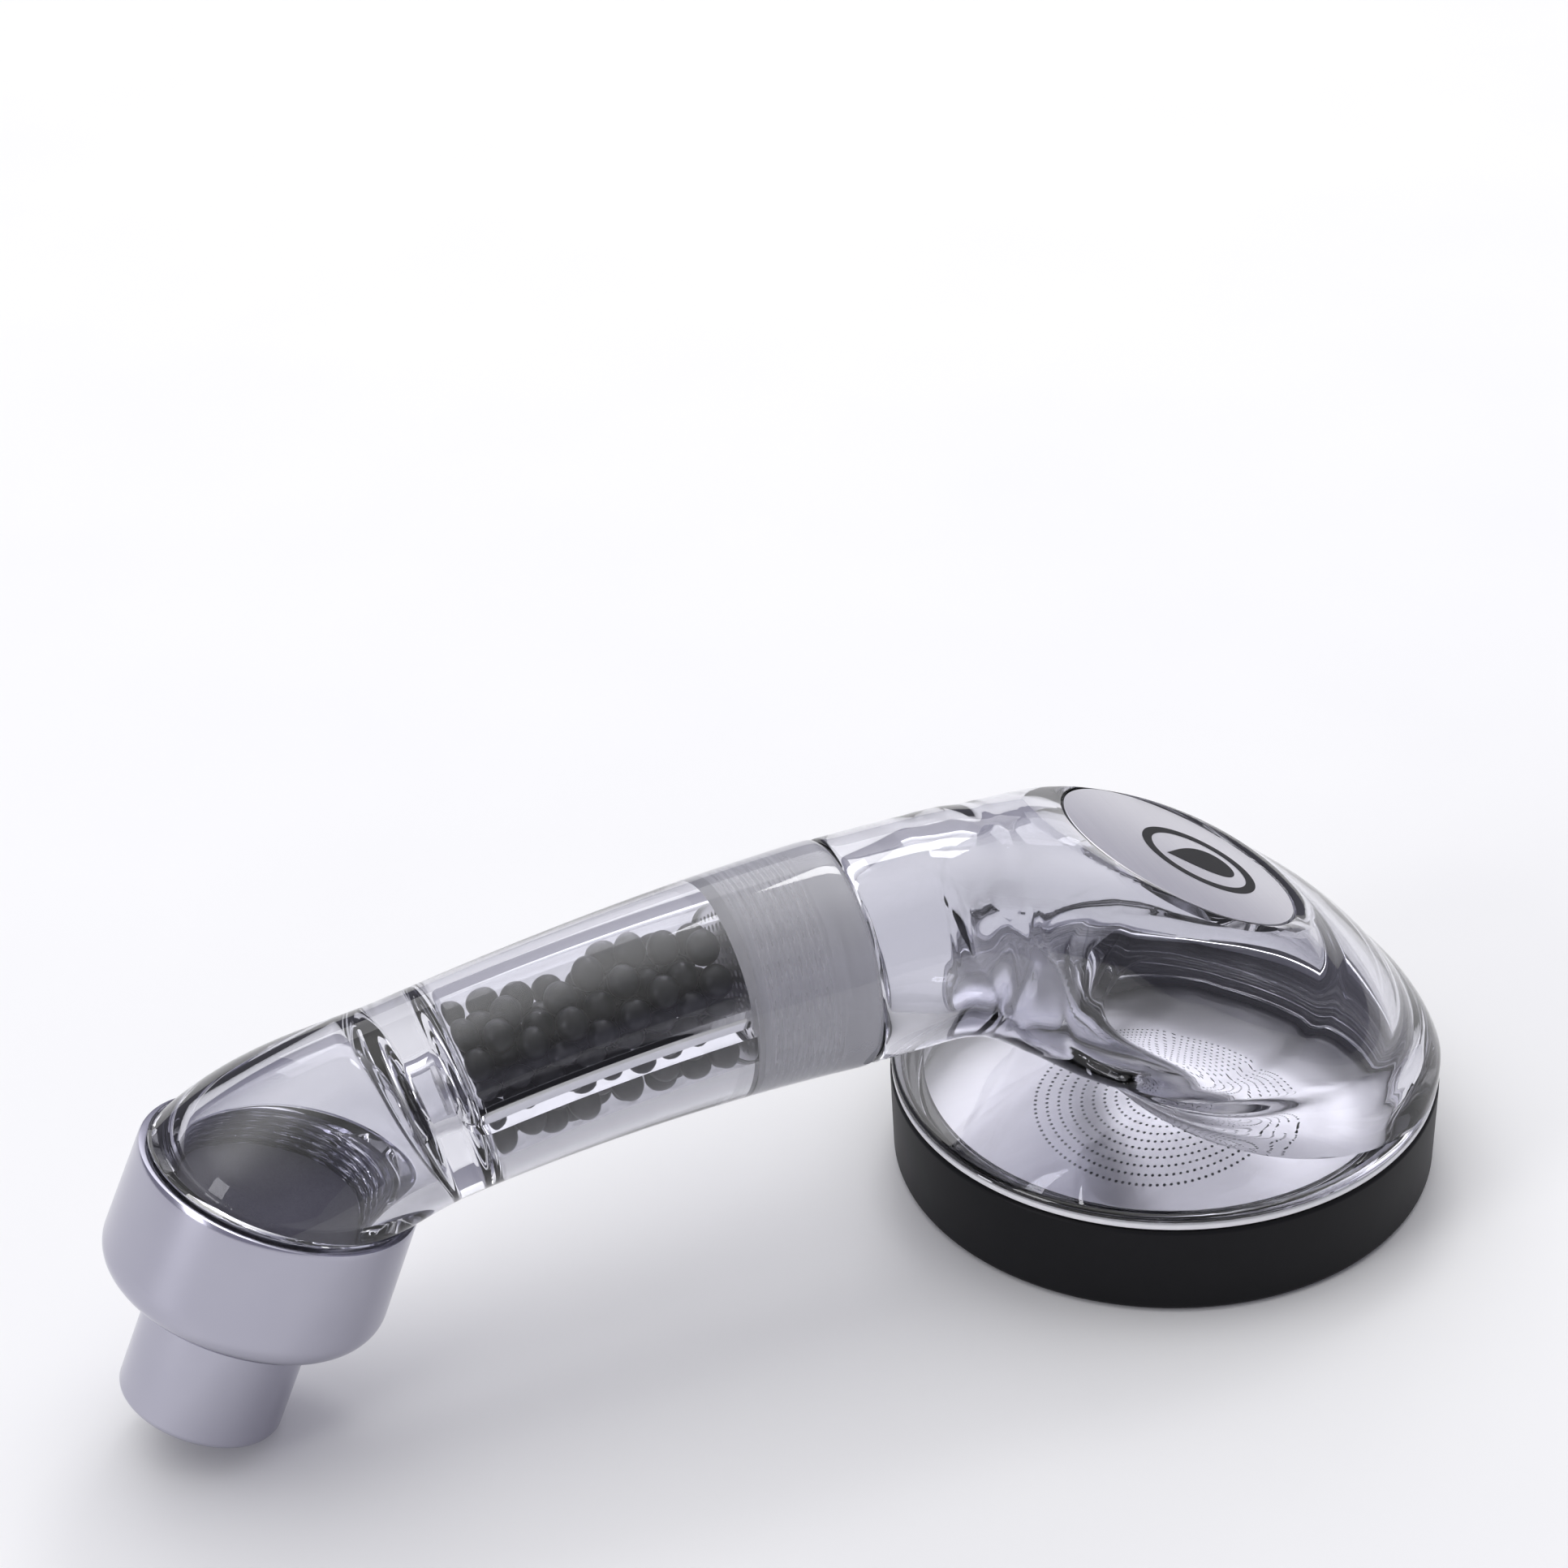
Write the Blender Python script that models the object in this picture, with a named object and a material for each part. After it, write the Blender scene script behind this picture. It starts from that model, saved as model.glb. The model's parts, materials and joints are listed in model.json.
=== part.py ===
"""Handheld shower head with a clear, bead-filled handle, lying on its spray face.

Metres, +Z up. The head's long direction is +X, from the hose end to the head, and the object is
the same on both sides of the plane Y = 0. The origin is on the surface that the spray face rests
on, under the middle of the object. Lengths below are in millimetres and angles in degrees.
"""

import math

import bmesh
import bpy
from mathutils import Matrix, Vector

MM = 0.001
GAP = 0.3  # left between pieces that touch

# Facets round the big pieces and round the small ones
SIDES = 32
SMALL_SIDES = 24
RING_SIDES = 48

# Spray face: a vertical axis. Heights here are counted from the top of the black ring.
FACE_X = 62.8
RING_HEIGHT = 15.3
RING_TOP_R = 43.0
RING_FOOT_R = 42.7
RING_BORE_R = 41.2
RING_LIP_R = 37.2
RING_LIP_THICK = 2.4
PLATE_THICK = 0.8
GASKET_THICK = 1.6
SKIRT_R = 40.8
CHAMBER_R = 37.6
CHAMBER_CEILING = -2.6
FLANGE_FOOT = 1.6
FLANGE_TOP = 2.8
FLANGE_R = 42.8
SEAL_INNER_R = 41.1

# Neck joint: a level axis that the head turns on when it is screwed off the handle
SEAM_X = 8.4
NECK_Z = 52.7
NECK_R = 17.1
SPIGOT_R = 14.0
SPIGOT_LONG = 17.5
SPIGOT_BORE_R = 10.5
SOCKET_R = 14.4
SOCKET_DEEP = 19.0
ORING_GROOVE_R = 12.2
ORING_GROOVE = (-3.6, -1.4)

# Handle: round sections on an arc whose top is at the neck joint
ARC_TOP_X = 5.8
ARC_R = 355.0
HANDLE_END_ANGLE = 10.2
HANDLE_R = 15.4
HANDLE_SWELL = 1.8  # how much thicker the handle is at the neck than at its tail
HANDLE_SWELL_POWER = 1.45
BEAD_BORE_R = 12.3
BEAD_LEVEL = 3.0  # how far the beads reach over the middle of their bore
BEAD_BORE_END_ANGLE = 9.7
THROAT_R = 4.0

# Tail: an axis that leans back from the vertical. Distances along it start at the cup's rim.
TAIL_X = -78.6
TAIL_Z = 41.4
TAIL_LEAN = 24.3
BELL_R = 19.6
BELL_SPIGOT_R = 17.9
BELL_SPIGOT_LONG = 8.5
BELL_BORE_R = 15.5
BELL_BORE_ABOVE = 5.0
CUP_RIM_R = 20.7
CUP_R = 21.1
CUP_BORE_R = 18.3
CUP_FLOOR = 11.5
CUP_LONG = 20.2
CUP_ROUND = 4.0
FLOOR_BORE_R = 9.2
STEM_R = 6.8
STEM_TOP = 8.2
CLIP_GROOVE = (8.9, 10.2)
CLIP_GROOVE_R = 5.9
WATERWAY_R = 5.0
SOCKET_TUBE_R = 12.2
SOCKET_TUBE_END = 40.0
SOCKET_TUBE_ROUND = 1.0
HOSE_BORE_R = 10.2
HOSE_BORE_TOP = 28.0

# The bell swells slowly at first and then faster towards the cup
BELL_POWER = 1.9

# Hood: sections that fan round a level line under the neck. Each station gives the section's
# angle above the horizontal, its near and far distance from that line, its half width, and how
# square it is, where 2 is an ellipse.
FAN_X = 22.8
FAN_Z = 17.3
HOOD = (
    (90.0, 18.25, 52.45, 17.1, 2.0),
    (76.0, 18.1, 52.6, 18.0, 2.1),
    (60.0, 18.4, 54.4, 21.5, 2.6),
    (41.0, 19.8, 58.4, 27.0, 2.9),
    (22.0, 23.2, 66.8, 31.6, 2.5),
    (8.0, 26.6, 77.0, 34.6, 2.1),
    (0.0, 28.0, 83.0, 35.4, 2.0),
)
HOOD_STEPS = 3
HOOD_WALL = 4.2

# Badge: a disc let into a flat on the hood
BADGE_X = 64.8
BADGE_Z = 53.4
BADGE_TILT = 29.0
BADGE_R = 19.4
BADGE_RECESS_R = 19.8
BADGE_RECESS = 2.0

COLOURS = {
    "clear_plastic": ((0.83, 0.83, 0.87, 0.35), 0.04, 0.0),
    "black_plastic": ((0.016, 0.016, 0.019, 1.0), 0.45, 0.0),
    "white_rubber": ((0.85, 0.85, 0.84, 1.0), 0.6, 0.0),
    "black_rubber": ((0.02, 0.02, 0.02, 1.0), 0.7, 0.0),
    "stainless": ((0.58, 0.57, 0.57, 1.0), 0.3, 1.0),
    "chrome": ((0.72, 0.72, 0.76, 1.0), 0.12, 1.0),
    "green_plastic": ((0.05, 0.22, 0.12, 1.0), 0.4, 0.0),
    "charcoal": ((0.012, 0.012, 0.013, 1.0), 0.8, 0.0),
    "filter_felt": ((0.62, 0.62, 0.6, 1.0), 0.9, 0.0),
    "white_plastic": ((0.8, 0.8, 0.8, 1.0), 0.45, 0.0),
}


def material(slot):
    """The Principled material of this slot, made the first time it is asked for."""
    if slot in bpy.data.materials:
        return bpy.data.materials[slot]
    colour, roughness, metallic = COLOURS[slot]
    made = bpy.data.materials.new(slot)
    made.use_nodes = True
    shader = made.node_tree.nodes["Principled BSDF"]
    shader.inputs["Base Color"].default_value = (*colour[:3], 1.0)
    shader.inputs["Alpha"].default_value = colour[3]
    shader.inputs["Roughness"].default_value = roughness
    shader.inputs["Metallic"].default_value = metallic
    return made


def axis(name, x, z, turn):
    """An empty whose local Z is a joint's axis, turned from the vertical about Y."""
    empty = bpy.data.objects.new(name, None)
    bpy.context.scene.collection.objects.link(empty)
    empty.location = (x * MM, 0, z * MM)
    empty.rotation_euler = (0, math.radians(turn), 0)
    bpy.context.view_layer.update()
    return empty


def add(name, mesh, slot, parent):
    """The node of this mesh, whose points are already in its parent's own frame, in millimetres."""
    bmesh.ops.scale(mesh, vec=(MM, MM, MM), verts=mesh.verts)
    bmesh.ops.recalc_face_normals(mesh, faces=mesh.faces)
    data = bpy.data.meshes.new(name)
    mesh.to_mesh(data)
    mesh.free()
    data.shade_smooth()
    data.set_sharp_from_angle(angle=math.radians(35))
    data.materials.append(material(slot))
    made = bpy.data.objects.new(name, data)
    made.parent = parent
    bpy.context.scene.collection.objects.link(made)
    return made


def combine(target, other, operation):
    """A Boolean of a helper with the target. The helper isn't a piece of its own."""
    other.hide_render = True
    other.display_type = "WIRE"
    modifier = target.modifiers.new(other.name, "BOOLEAN")
    modifier.operation = operation
    modifier.solver = "EXACT"
    modifier.object = other


def turned(profile, sides=RING_SIDES):
    """A closed profile of (radius, distance along Z) corners, turned into a ring or a disc."""
    mesh = bmesh.new()
    corners = [mesh.verts.new((radius, 0, along)) for radius, along in profile]
    for first, second in zip(corners, corners[1:] + corners[:1]):
        if first.co.x > 0 or second.co.x > 0:
            mesh.edges.new((first, second))
    bmesh.ops.spin(
        mesh,
        geom=mesh.verts[:] + mesh.edges[:],
        cent=(0, 0, 0),
        axis=(0, 0, 1),
        angle=math.tau,
        steps=sides,
        use_merge=True,
    )
    bmesh.ops.remove_doubles(mesh, verts=mesh.verts, dist=1e-4)
    return mesh


def band(inner, outer, low, high):
    """The profile of a flat ring, or of a disc where the inner radius is 0."""
    return [(inner, low), (outer, low), (outer, high), (inner, high)]


def hoop(radius, thickness, along, sides=8):
    """The profile of an O-ring."""
    angles = [math.tau * (i + 0.5) / sides for i in range(sides)]
    half = thickness / 2
    return [(radius + half * math.cos(a), along + half * math.sin(a)) for a in angles]


def corner(radius, along, size, start, steps=3):
    """A rounded corner of a profile about its own centre, a quarter turn from the start angle."""
    angles = [math.radians(start + 90 * i / steps) for i in range(steps + 1)]
    return [(radius + size * math.cos(a), along + size * math.sin(a)) for a in angles]


def oval(length, width, power=2.0, sides=SIDES):
    """A rounded outline, as (along, across) pairs. A power of 2 is an ellipse."""
    points = []
    for i in range(sides):
        angle = math.tau * i / sides
        along, across = math.cos(angle), math.sin(angle)
        points.append((
            length * math.copysign(abs(along) ** (2 / power), along),
            width * math.copysign(abs(across) ** (2 / power), across),
        ))
    return points


def heap(radius, level, sides=20):
    """The outline of a round bore filled up to this level over its middle."""
    edge = math.acos(level / radius)
    angles = [edge + (math.tau - 2 * edge) * i / (sides - 1) for i in range(sides)]
    return [(radius * math.cos(a), radius * math.sin(a)) for a in angles]


def section(middle, up, outline):
    """An outline set upright at a middle point: along is the up direction, across is Y."""
    return [middle + up * along + Vector((0, across, 0)) for along, across in outline]


def skin(sections, parent):
    """A closed solid over sections of equal count, moved from the world into the parent's frame."""
    mesh = bmesh.new()
    loops = [[mesh.verts.new(point) for point in points] for points in sections]
    for near, far in zip(loops, loops[1:]):
        for i in range(len(near)):
            j = (i + 1) % len(near)
            mesh.faces.new((near[i], near[j], far[j], far[i]))
    mesh.faces.new(loops[0])
    mesh.faces.new(loops[-1])
    to_parent = parent.matrix_world.copy()
    to_parent.translation /= MM
    bmesh.ops.transform(mesh, matrix=to_parent.inverted(), verts=mesh.verts)
    return mesh


def ease(share):
    """0 to 1, starting and ending level."""
    return share * share * (3 - 2 * share)


def smooth_stations(stations, steps):
    """Extra stations between the given ones, on a smooth curve through them."""
    found = []
    last = len(stations) - 1
    for i in range(last):
        before, here = stations[max(i - 1, 0)], stations[i]
        there, after = stations[i + 1], stations[min(i + 2, last)]
        for k in range(steps):
            t = k / steps
            found.append(tuple(
                0.5 * (2 * b + (c - a) * t + (2 * a - 5 * b + 4 * c - d) * t * t
                       + (3 * b - a - 3 * c + d) * t ** 3)
                for a, b, c, d in zip(before, here, there, after)
            ))
    return found + [stations[-1]]


def arc_place(angle):
    """The middle and the up direction of the handle's section at this angle down the arc."""
    turn = math.radians(max(angle, 0.0))
    x = ARC_TOP_X - ARC_R * math.sin(turn)
    z = NECK_Z - ARC_R * (1 - math.cos(turn))
    return Vector((x, 0, z)), Vector((-math.sin(turn), 0, math.cos(turn)))


def handle_radius(angle):
    share = min(max(angle / HANDLE_END_ANGLE, 0.0), 1.0)
    return HANDLE_R + HANDLE_SWELL * (1 - share) ** HANDLE_SWELL_POWER


def tail_fan():
    """Where the planes of the handle's last section and of the cup's rim cross, seen from the side."""
    middle, up = arc_place(HANDLE_END_ANGLE)
    lean = math.radians(TAIL_LEAN)
    rim = Vector((TAIL_X, 0, TAIL_Z))
    rim_up = Vector((-math.cos(lean), 0, math.sin(lean)))
    across = up.x * rim_up.z - up.z * rim_up.x
    apart = rim - middle
    reach = (apart.x * rim_up.z - apart.z * rim_up.x) / across
    return middle + up * reach, -reach, (middle + up * reach - rim).length


def elbow_place(share):
    """The bend from the handle, at 0, to the cup's rim, at 1."""
    pivot, near, far = tail_fan()
    start = HANDLE_END_ANGLE
    turn = math.radians(start + (90 - TAIL_LEAN - start) * share)
    up = Vector((-math.sin(turn), 0, math.cos(turn)))
    return pivot + up * (near + (far - near) * share ** BELL_POWER), up


def tail_place(along):
    """A section square to the tail's axis, at this distance past the cup's rim."""
    lean = math.radians(TAIL_LEAN)
    middle = Vector((TAIL_X - along * math.sin(lean), 0, TAIL_Z - along * math.cos(lean)))
    return middle, Vector((-math.cos(lean), 0, math.sin(lean)))


def fan_section(angle, near, far, width, power):
    """A section of the hood, at this angle round the fan's line."""
    turn = math.radians(angle)
    out = Vector((math.cos(turn), 0, math.sin(turn)))
    middle = Vector((FAN_X, 0, FAN_Z)) + out * (near + far) / 2
    return section(middle, out, oval((far - near) / 2, width, power))


def level_section(middle_x, height, length, width):
    """A section that lies level, as the hood's foot does."""
    middle = Vector((middle_x, 0, RING_HEIGHT + height))
    return section(middle, Vector((1, 0, 0)), oval(length, width))


def neck_section(along, radius):
    """A round section on the neck's axis, at this distance from the seam towards the head."""
    return section(Vector((SEAM_X + along, 0, NECK_Z)), Vector((0, 0, 1)), oval(radius, radius))


def hood_foot_x():
    """The middle of the hood's foot, and its half length."""
    near, far = HOOD[-1][1:3]
    return FAN_X + (near + far) / 2, (far - near) / 2


def make_head(neck, face, badge):
    """The clear head: threaded spigot, neck, hood, flange and the skirt that the ring screws on."""
    low, high = ORING_GROOVE
    neck_part = [
        neck_section(-SPIGOT_LONG, SPIGOT_R - 0.8),
        neck_section(-SPIGOT_LONG + 0.8, SPIGOT_R),
        neck_section(low, SPIGOT_R),
        neck_section(low, ORING_GROOVE_R),
        neck_section(high, ORING_GROOVE_R),
        neck_section(high, SPIGOT_R),
        neck_section(0, SPIGOT_R),
        neck_section(0, NECK_R),
        neck_section((FAN_X - SEAM_X) / 2, NECK_R),
    ]
    stations = smooth_stations(HOOD, HOOD_STEPS)
    foot_x, foot_half = hood_foot_x()
    hood = [fan_section(*station) for station in stations]
    foot = level_section(foot_x, FLANGE_FOOT + 0.2, foot_half - 0.4, HOOD[-1][3] - 0.4)
    head = add("head_shell", skin(neck_part + hood + [foot], neck), "clear_plastic", neck)

    flange = [(0, -9.6), (SKIRT_R, -9.6), (SKIRT_R, FLANGE_FOOT), (FLANGE_R, FLANGE_FOOT)]
    flange += [(FLANGE_R, FLANGE_TOP - 0.7), (FLANGE_R - 0.7, FLANGE_TOP), (0, FLANGE_TOP)]
    combine(head, add("flange_form", turned(flange), "clear_plastic", face), "UNION")

    above = [(0, 0), (60, 0), (60, 30), (0, 30)]
    combine(head, add("badge_flat", turned(above, SMALL_SIDES), "clear_plastic", badge), "DIFFERENCE")
    recess = [(0, -BADGE_RECESS), (BADGE_RECESS_R, -BADGE_RECESS), (BADGE_RECESS_R, 1), (0, 1)]
    combine(head, add("badge_recess", turned(recess), "clear_plastic", badge), "DIFFERENCE")

    hollow = [
        neck_section(-SPIGOT_LONG - 1, SPIGOT_BORE_R),
        neck_section(3, SPIGOT_BORE_R),
        neck_section(FAN_X - SEAM_X - 2, NECK_R - HOOD_WALL + 0.6),
    ]
    for angle, near, far, width, power in stations[1:-1]:
        hollow.append(fan_section(
            angle, near + HOOD_WALL, far - HOOD_WALL, width - HOOD_WALL, power))
    hollow.append(level_section(foot_x, -0.2, foot_half - HOOD_WALL, HOOD[-1][3] - HOOD_WALL))
    hollow.append(level_section(foot_x, -6.0, foot_half - HOOD_WALL - 1, HOOD[-1][3] - HOOD_WALL - 1))
    combine(head, add("hood_hollow", skin(hollow, neck), "clear_plastic", neck), "DIFFERENCE")
    chamber = [(0, -12), (CHAMBER_R, -12), (CHAMBER_R, CHAMBER_CEILING), (0, CHAMBER_CEILING)]
    combine(head, add("face_chamber", turned(chamber), "clear_plastic", face), "DIFFERENCE")


def make_face(face, badge):
    """What closes the head: ring, plate, its seals, and the badge on top."""
    lip = RING_LIP_THICK - RING_HEIGHT
    ring = corner(RING_FOOT_R - 1.2, 1.2 - RING_HEIGHT, 1.2, -90)
    ring += corner(RING_TOP_R - 0.8, -0.8, 0.8, 0)
    ring += [(RING_BORE_R, 0), (RING_BORE_R, lip), (RING_LIP_R, lip)]
    ring += [(RING_LIP_R, 0.6 - RING_HEIGHT), (RING_LIP_R + 0.6, -RING_HEIGHT)]
    add("face_ring", turned(ring), "black_plastic", face)
    plate_low = lip + GAP
    plate_high = plate_low + PLATE_THICK
    plate_r = RING_BORE_R - GAP
    add("spray_plate", turned(band(0, plate_r, plate_low, plate_high)), "stainless", face)
    low = plate_high + GAP
    gasket = band(CHAMBER_R + 0.2, plate_r, low, low + GASKET_THICK)
    add("plate_gasket", turned(gasket), "black_rubber", face)
    seal = band(SEAL_INNER_R, FLANGE_R - 0.1, GAP, FLANGE_FOOT - GAP)
    add("rim_seal", turned(seal), "white_rubber", face)
    pad = band(0, BADGE_R - 0.8, GAP - BADGE_RECESS, GAP + 0.5 - BADGE_RECESS)
    add("badge_adhesive", turned(pad, SMALL_SIDES), "white_rubber", badge)
    add("badge_plate", turned(band(0, BADGE_R, -0.9, -0.1)), "stainless", badge)


def make_handle(neck, tail):
    """The clear handle: socket for the neck, bead bore, throat, and the bell that holds the cup."""
    angles = [HANDLE_END_ANGLE * i / 7 for i in range(8)]
    outer = [neck_section(-GAP, handle_radius(0) - 0.4), neck_section(-GAP - 0.4, handle_radius(0))]
    for angle in angles[:-1]:
        outer.append(section(*arc_place(angle), oval(handle_radius(angle), handle_radius(angle))))
    steps = 8
    for i in range(steps + 1):
        height = HANDLE_R + (BELL_R - HANDLE_R) * (i / steps) ** BELL_POWER
        width = HANDLE_R + (BELL_R - HANDLE_R) * ease(i / steps)
        middle, up = tail_place(-GAP) if i == steps else elbow_place(i / steps)
        outer.append(section(middle, up, oval(height, width)))
    for along, radius in ((-GAP, BELL_SPIGOT_R), (BELL_SPIGOT_LONG, BELL_SPIGOT_R)):
        outer.append(section(*tail_place(along), oval(radius, radius)))
    handle = add("handle_body", skin(outer, neck), "clear_plastic", neck)

    hollow = [neck_section(1, SOCKET_R), neck_section(-SOCKET_DEEP, SOCKET_R)]
    hollow.append(neck_section(-SOCKET_DEEP, BEAD_BORE_R))
    first = math.degrees(math.asin((ARC_TOP_X - SEAM_X + SOCKET_DEEP + 2) / ARC_R))
    last = BEAD_BORE_END_ANGLE - 0.9
    for i in range(6):
        angle = first + (last - first) * i / 5
        hollow.append(section(*arc_place(angle), oval(BEAD_BORE_R, BEAD_BORE_R)))
    for share in (0.35, 0.7, 0.93):
        radius = THROAT_R + (BEAD_BORE_R - THROAT_R) * math.sqrt(1 - share * share)
        hollow.append(section(*arc_place(last + 0.9 * share), oval(radius, radius)))
    hollow.append(section(*arc_place(BEAD_BORE_END_ANGLE), oval(THROAT_R, THROAT_R)))
    for share in (0.08, 0.2, 0.35, 0.5, 0.65, 0.8):
        radius = THROAT_R + (BELL_BORE_R - THROAT_R) * ease(min(share / 0.8, 1.0)) ** 0.8
        hollow.append(section(*elbow_place(share), oval(radius, radius)))
    for along in (-BELL_BORE_ABOVE + 1.5, BELL_SPIGOT_LONG + 1):
        hollow.append(section(*tail_place(along), oval(BELL_BORE_R, BELL_BORE_R)))
    combine(handle, add("handle_hollow", skin(hollow, neck), "clear_plastic", neck), "DIFFERENCE")

    beads = []
    for i in range(6):
        angle = first + 0.15 + (last - 0.1 - first) * i / 5
        beads.append(section(*arc_place(angle), heap(BEAD_BORE_R - GAP, BEAD_LEVEL)))
    add("bead_bed", skin(beads, tail), "charcoal", tail)
    middle, up = arc_place(BEAD_BORE_END_ANGLE + 0.08)
    along = Vector((-up.z, 0, up.x))
    screen = [section(middle + along * shift, up, oval(THROAT_R - GAP, THROAT_R - GAP, sides=12))
              for shift in (-0.3, 0.3)]
    add("inlet_screen", skin(screen, tail), "stainless", tail)


def make_neck(neck):
    """What seals the neck joint and keeps the beads in the handle."""
    low, high = ORING_GROOVE
    add("neck_o_ring", turned(hoop(13.3, 1.5, (low + high) / 2), RING_SIDES), "white_rubber", neck)
    back, front = GAP - SOCKET_DEEP, -GAP - SPIGOT_LONG
    add("outlet_screen", turned(band(0, 12.0, back, front)), "stainless", neck)
    add("screen_frame", turned(band(12.0 + GAP, SOCKET_R - GAP, back, front)), "green_plastic", neck)


def make_tail(tail):
    """The chrome cup on the bell, with its seal and filter, and the socket that turns in it."""
    cup = [(CUP_BORE_R, 0), (CUP_BORE_R, CUP_FLOOR), (FLOOR_BORE_R, CUP_FLOOR), (FLOOR_BORE_R, CUP_LONG)]
    cup += reversed(corner(CUP_R - CUP_ROUND, CUP_LONG - CUP_ROUND, CUP_ROUND, 0, 4))
    cup += [(CUP_RIM_R, 0.5), (CUP_RIM_R - 0.5, 0)]
    add("tail_cup", turned(cup, SIDES), "chrome", tail)

    low, high = BELL_SPIGOT_LONG + GAP, CUP_FLOOR - GAP
    add("cup_seal", turned(band(15.3, CUP_BORE_R - GAP, low, high), SIDES), "black_rubber", tail)
    carrier_r = BELL_BORE_R - 0.6
    add("filter_carrier", turned(band(11.6, carrier_r, 7.9, high), SIDES), "white_plastic", tail)
    add("filter_disc", turned(band(0, carrier_r, 5.4, 7.9 - GAP), SIDES), "filter_felt", tail)

    top = CUP_LONG + GAP
    groove_low, groove_high = CLIP_GROOVE
    tube = [(SOCKET_TUBE_R, top)]
    tube_round = SOCKET_TUBE_ROUND
    tube += corner(SOCKET_TUBE_R - tube_round, SOCKET_TUBE_END - tube_round, tube_round, 0)
    tube += [(HOSE_BORE_R, SOCKET_TUBE_END), (HOSE_BORE_R, HOSE_BORE_TOP), (WATERWAY_R, HOSE_BORE_TOP)]
    tube += [(WATERWAY_R, STEM_TOP), (STEM_R, STEM_TOP), (STEM_R, groove_low)]
    tube += [(CLIP_GROOVE_R, groove_low), (CLIP_GROOVE_R, groove_high), (STEM_R, groove_high), (STEM_R, top)]
    add("swivel_socket", turned(tube, SMALL_SIDES), "chrome", tail)
    clip = band(CLIP_GROOVE_R + GAP, 9.4, groove_low + GAP, groove_high - GAP)
    add("swivel_clip", turned(clip, SMALL_SIDES), "stainless", tail)
    washer = band(STEM_R + GAP, 11.0, groove_high, high)
    add("swivel_washer", turned(washer, SMALL_SIDES), "white_plastic", tail)
    for name, along in (("swivel_o_ring_upper", 14.0), ("swivel_o_ring_lower", 17.4)):
        ring = hoop((STEM_R + FLOOR_BORE_R) / 2, 1.7, along, 6)
        add(name, turned(ring, SMALL_SIDES), "black_rubber", tail)
    restrictor = band(1.8, WATERWAY_R - GAP, 21.0, 25.0)
    add("flow_restrictor", turned(restrictor, SMALL_SIDES), "white_plastic", tail)
    washer = band(5.6, HOSE_BORE_R - 0.5, HOSE_BORE_TOP + GAP, HOSE_BORE_TOP + GAP + 2)
    add("hose_washer", turned(washer, SMALL_SIDES), "black_rubber", tail)


for old in list(bpy.data.objects):
    bpy.data.objects.remove(old, do_unlink=True)
face_axis = axis("face_axis", FACE_X, RING_HEIGHT, 0)
neck_axis = axis("neck_axis", SEAM_X, NECK_Z, 90)
tail_axis = axis("tail_axis", TAIL_X, TAIL_Z, 180 + TAIL_LEAN)
badge_axis = axis("badge_axis", BADGE_X, BADGE_Z, BADGE_TILT)
make_head(neck_axis, face_axis, badge_axis)
make_face(face_axis, badge_axis)
make_handle(neck_axis, tail_axis)
make_neck(neck_axis)
make_tail(tail_axis)
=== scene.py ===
"""The looks of a handheld shower head with a clear handle full of mineral balls.

It lies on its spray face. Lengths in this file are millimetres unless a name says otherwise, and
place() turns them into Blender's metres. The object is the same on both sides of the plane Y = 0.
"""
import json
import math

import bmesh
import bpy
import numpy as np
from mathutils import Matrix, Vector


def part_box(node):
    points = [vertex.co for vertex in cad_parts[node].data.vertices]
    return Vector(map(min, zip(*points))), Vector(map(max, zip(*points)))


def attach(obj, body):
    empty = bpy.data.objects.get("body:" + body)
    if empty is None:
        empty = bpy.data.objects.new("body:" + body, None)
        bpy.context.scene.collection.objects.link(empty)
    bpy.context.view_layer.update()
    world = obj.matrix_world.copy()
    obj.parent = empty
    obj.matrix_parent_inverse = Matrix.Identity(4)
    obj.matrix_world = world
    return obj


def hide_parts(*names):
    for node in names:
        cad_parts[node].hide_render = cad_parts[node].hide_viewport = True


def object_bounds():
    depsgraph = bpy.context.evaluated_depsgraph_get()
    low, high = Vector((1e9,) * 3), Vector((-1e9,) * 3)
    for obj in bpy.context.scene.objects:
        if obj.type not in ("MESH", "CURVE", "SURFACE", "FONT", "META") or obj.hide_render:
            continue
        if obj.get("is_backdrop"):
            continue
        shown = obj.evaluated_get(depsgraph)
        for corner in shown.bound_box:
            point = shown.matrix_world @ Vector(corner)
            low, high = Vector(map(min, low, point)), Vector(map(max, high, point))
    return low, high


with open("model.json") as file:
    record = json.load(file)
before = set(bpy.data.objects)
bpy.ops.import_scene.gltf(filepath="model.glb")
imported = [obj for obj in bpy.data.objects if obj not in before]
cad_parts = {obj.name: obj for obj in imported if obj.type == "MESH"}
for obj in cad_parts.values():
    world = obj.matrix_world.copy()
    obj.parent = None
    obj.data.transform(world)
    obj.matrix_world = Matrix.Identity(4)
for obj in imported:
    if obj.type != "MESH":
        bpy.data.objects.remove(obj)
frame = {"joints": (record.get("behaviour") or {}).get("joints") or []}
cad_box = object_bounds()

# Camera. A long lens looks down at the head from the hose end's near side, turned a little about
# its own line of sight.
CAMERA_AIM = Vector((0.0257, 0.0632, 0.0412))
CAMERA_AWAY = 0.6
CAMERA_HEIGHT_ANGLE = math.radians(32.254)
CAMERA_SIDE_ANGLE = math.radians(21.555)
CAMERA_ROLL = math.radians(-2.56)

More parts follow.
